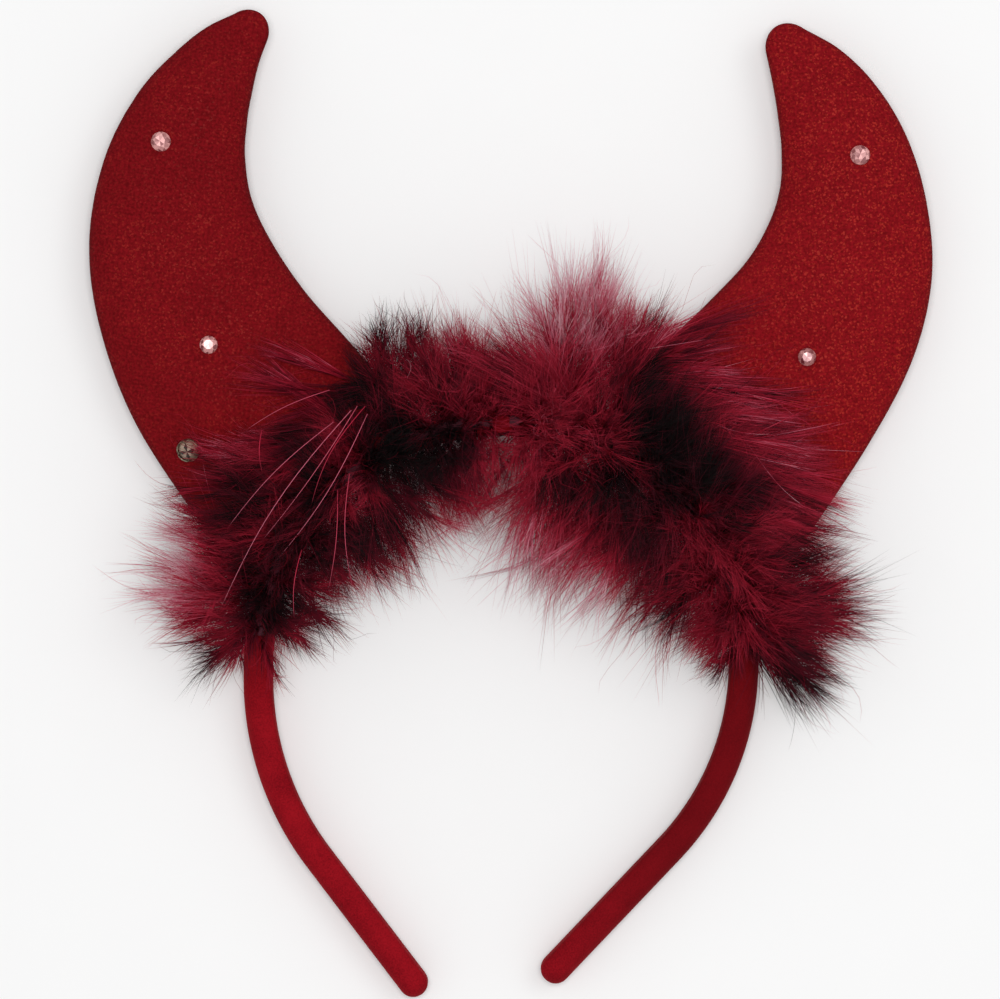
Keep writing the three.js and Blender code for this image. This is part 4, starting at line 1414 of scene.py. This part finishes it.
class Down:
    """The down in the making: its threads are laid on the part, toned and joined into pieces."""

    GAP = (0.3, 1.2)
    FLOOR_GAP = 0.4
    SOFT_SHARE = 0.3

    def __init__(self, settings):
        self.settings = settings
        self.laid = laying_down(settings)
        self.ground = Ground(settings.horn, settings.band)
        self.finish = down_finish()

    def rest(self, lines, rng):
        """The lines lifted off the horns, the band and the floor, and pressed softly below the top."""
        least, more = self.GAP
        lines = self.ground.lift(lines, (least + more * rng.random(lines.shape[:-1])) * MM)
        turn, move = self.laid
        height = (lines @ turn + move)[..., 2]
        lines[..., 2] += np.maximum((self.FLOOR_GAP + rng.random(height.shape)) * MM - height, 0)
        top = self.settings.trim.top
        room = self.SOFT_SHARE * top
        above = np.maximum(height - (top - room), 0)
        lines[..., 2] -= above - room * np.tanh(above / room)
        return lines

    def tones(self, lines, shift):
        """The tone at each point of the threads: that of its place, blended with that of the thread's root,
        the thread's own shift, and what light comes through."""
        placed = 0.5 * (tone_at(lines) + tone_at(lines[:, 1:2]))
        return placed + shift[:, None] + light_through(lines, self.ground, self.settings)

    def add(self, name, node, kind, lines, tones, radius):
        """A piece of a strip made of one kind of thread along lines."""
        walked, taper = THREADS[kind]
        turn, move = self.laid
        points, faces = tapered_threads(lines, radius, taper)
        places = thread_map(tones, np.broadcast_to(walked, tones.shape))
        place_piece(make_mesh(name, points @ turn + move, [faces], self.finish, uv=places), "feather", node)


class HEADBAND_OT_trim(bpy.types.Operator):
    """Binds the down plumes to their cords and lays the two strips over the crown"""

    bl_idname = "headband.trim"
    bl_label = "Feather trim"

    def execute(self, context):
        settings = context.scene.headband
        horn, band, trim = settings.horn, settings.band, settings.trim
        thread = thread_finish()
        down = Down(settings)
        for side in SIDES:
            node = f"feather_trim_{side}"
            surface = cord_surface(side, horn, band, trim, *CORD_GRAIN)
            place_piece(make_tube(f"cord_{side}", *surface, thread, down.laid), "feather", node)
            rng = np.random.default_rng(trim.seed + (side == "right"))
            root, way, reach, curl, spread, shift = plume_roots(side, settings, rng)
            strands = (len(root), trim.strands)

            barbs = barb_lines(root, way, reach, curl, spread, trim.strands, trim.strand_barbs, rng)
            own = STRAND_LIGHTEST - STRAND_RANGE * rng.random((*strands, 1)) ** STRAND_RARITY
            own = own + rng.normal(0, BARB_SHIFT, (*strands, trim.strand_barbs))
            own = (shift[:, None, None] + own).ravel()
            radius = trim.barb_radius * rng.uniform(*BARB_THICKNESS, len(barbs))
            edges = np.linspace(0, len(barbs), DOWN_PIECES[side] + 1).astype(int)
            for number, (first, last) in enumerate(zip(edges, edges[1:]), 1):
                lines = down.rest(barbs[first:last], rng)
                tones = down.tones(lines, own[first:last])
                down.add(f"down_{side}_{number}", node, "barb", lines, tones, radius[first:last])

            wisps = down.rest(wisp_lines(root, way, reach, curl, trim.wisps, rng), rng)
            tones = down.tones(wisps, np.repeat(shift, trim.wisps) + rng.normal(0, WISP_SHIFT, len(wisps)))
            radius = trim.wisp_radius * rng.uniform(*WISP_THICKNESS, len(wisps))
            down.add(f"wisps_{side}", node, "wisp", wisps, tones, radius)

            walked = np.broadcast_to(THREADS["quill"][0], (len(root), len(THREADS["quill"][0])))
            quills = down.rest(quill_line(root, way, reach * QUILL_LENGTH, curl, walked), rng)
            radius = np.full(len(root), trim.quill_radius)
            tones = down.tones(quills, shift + QUILL_SHIFT)
            down.add(f"quills_{side}", node, "quill", quills, tones, radius)

        quills = bare_quill_lines()
        tones = np.linspace(*BARE_QUILL_TONES, len(quills))[:, None]
        tones = tones + BARE_QUILL_PALING * THREADS["bare_quill"][0]
        radius = np.full(len(quills), BARE_QUILL_THICKNESS * trim.quill_radius)
        down.add("bare_quills", "feather_trim_left", "bare_quill", quills, tones, radius)
        return {"FINISHED"}


class HEADBAND_PT_panel(bpy.types.Panel):
    """The headband's pieces and their sizes"""

    bl_idname = "HEADBAND_PT_panel"
    bl_label = "Headband"
    bl_space_type = "VIEW_3D"
    bl_region_type = "UI"
    bl_category = "Headband"

    def draw(self, context):
        settings = context.scene.headband
        groups = (settings.stage, settings.band, settings.horn, settings.stone, settings.trim)
        for operator, group in zip(OPERATORS, groups):
            box = self.layout.box()
            box.operator(operator.bl_idname)
            for name in group.bl_rna.properties.keys():
                if name not in ("rna_type", "name"):
                    box.prop(group, name)


OPERATORS = (HEADBAND_OT_stage, HEADBAND_OT_band, HEADBAND_OT_horns, HEADBAND_OT_stones, HEADBAND_OT_trim)
GROUPS = (BandSizes, HornSizes, StoneSizes, TrimSizes, StageLook, HeadbandSettings)


def register():
    for cls in (*GROUPS, *OPERATORS, HEADBAND_PT_panel):
        bpy.utils.register_class(cls)
    bpy.types.Scene.headband = PointerProperty(type=HeadbandSettings)


def unregister():
    del bpy.types.Scene.headband
    for cls in reversed((*GROUPS, *OPERATORS, HEADBAND_PT_panel)):
        bpy.utils.unregister_class(cls)


def main():
    register()
    bpy.ops.headband.stage()
    bpy.ops.headband.band()
    bpy.ops.headband.horns()
    bpy.ops.headband.stones()
    bpy.ops.headband.trim()


if __name__ == "__main__":
    main()
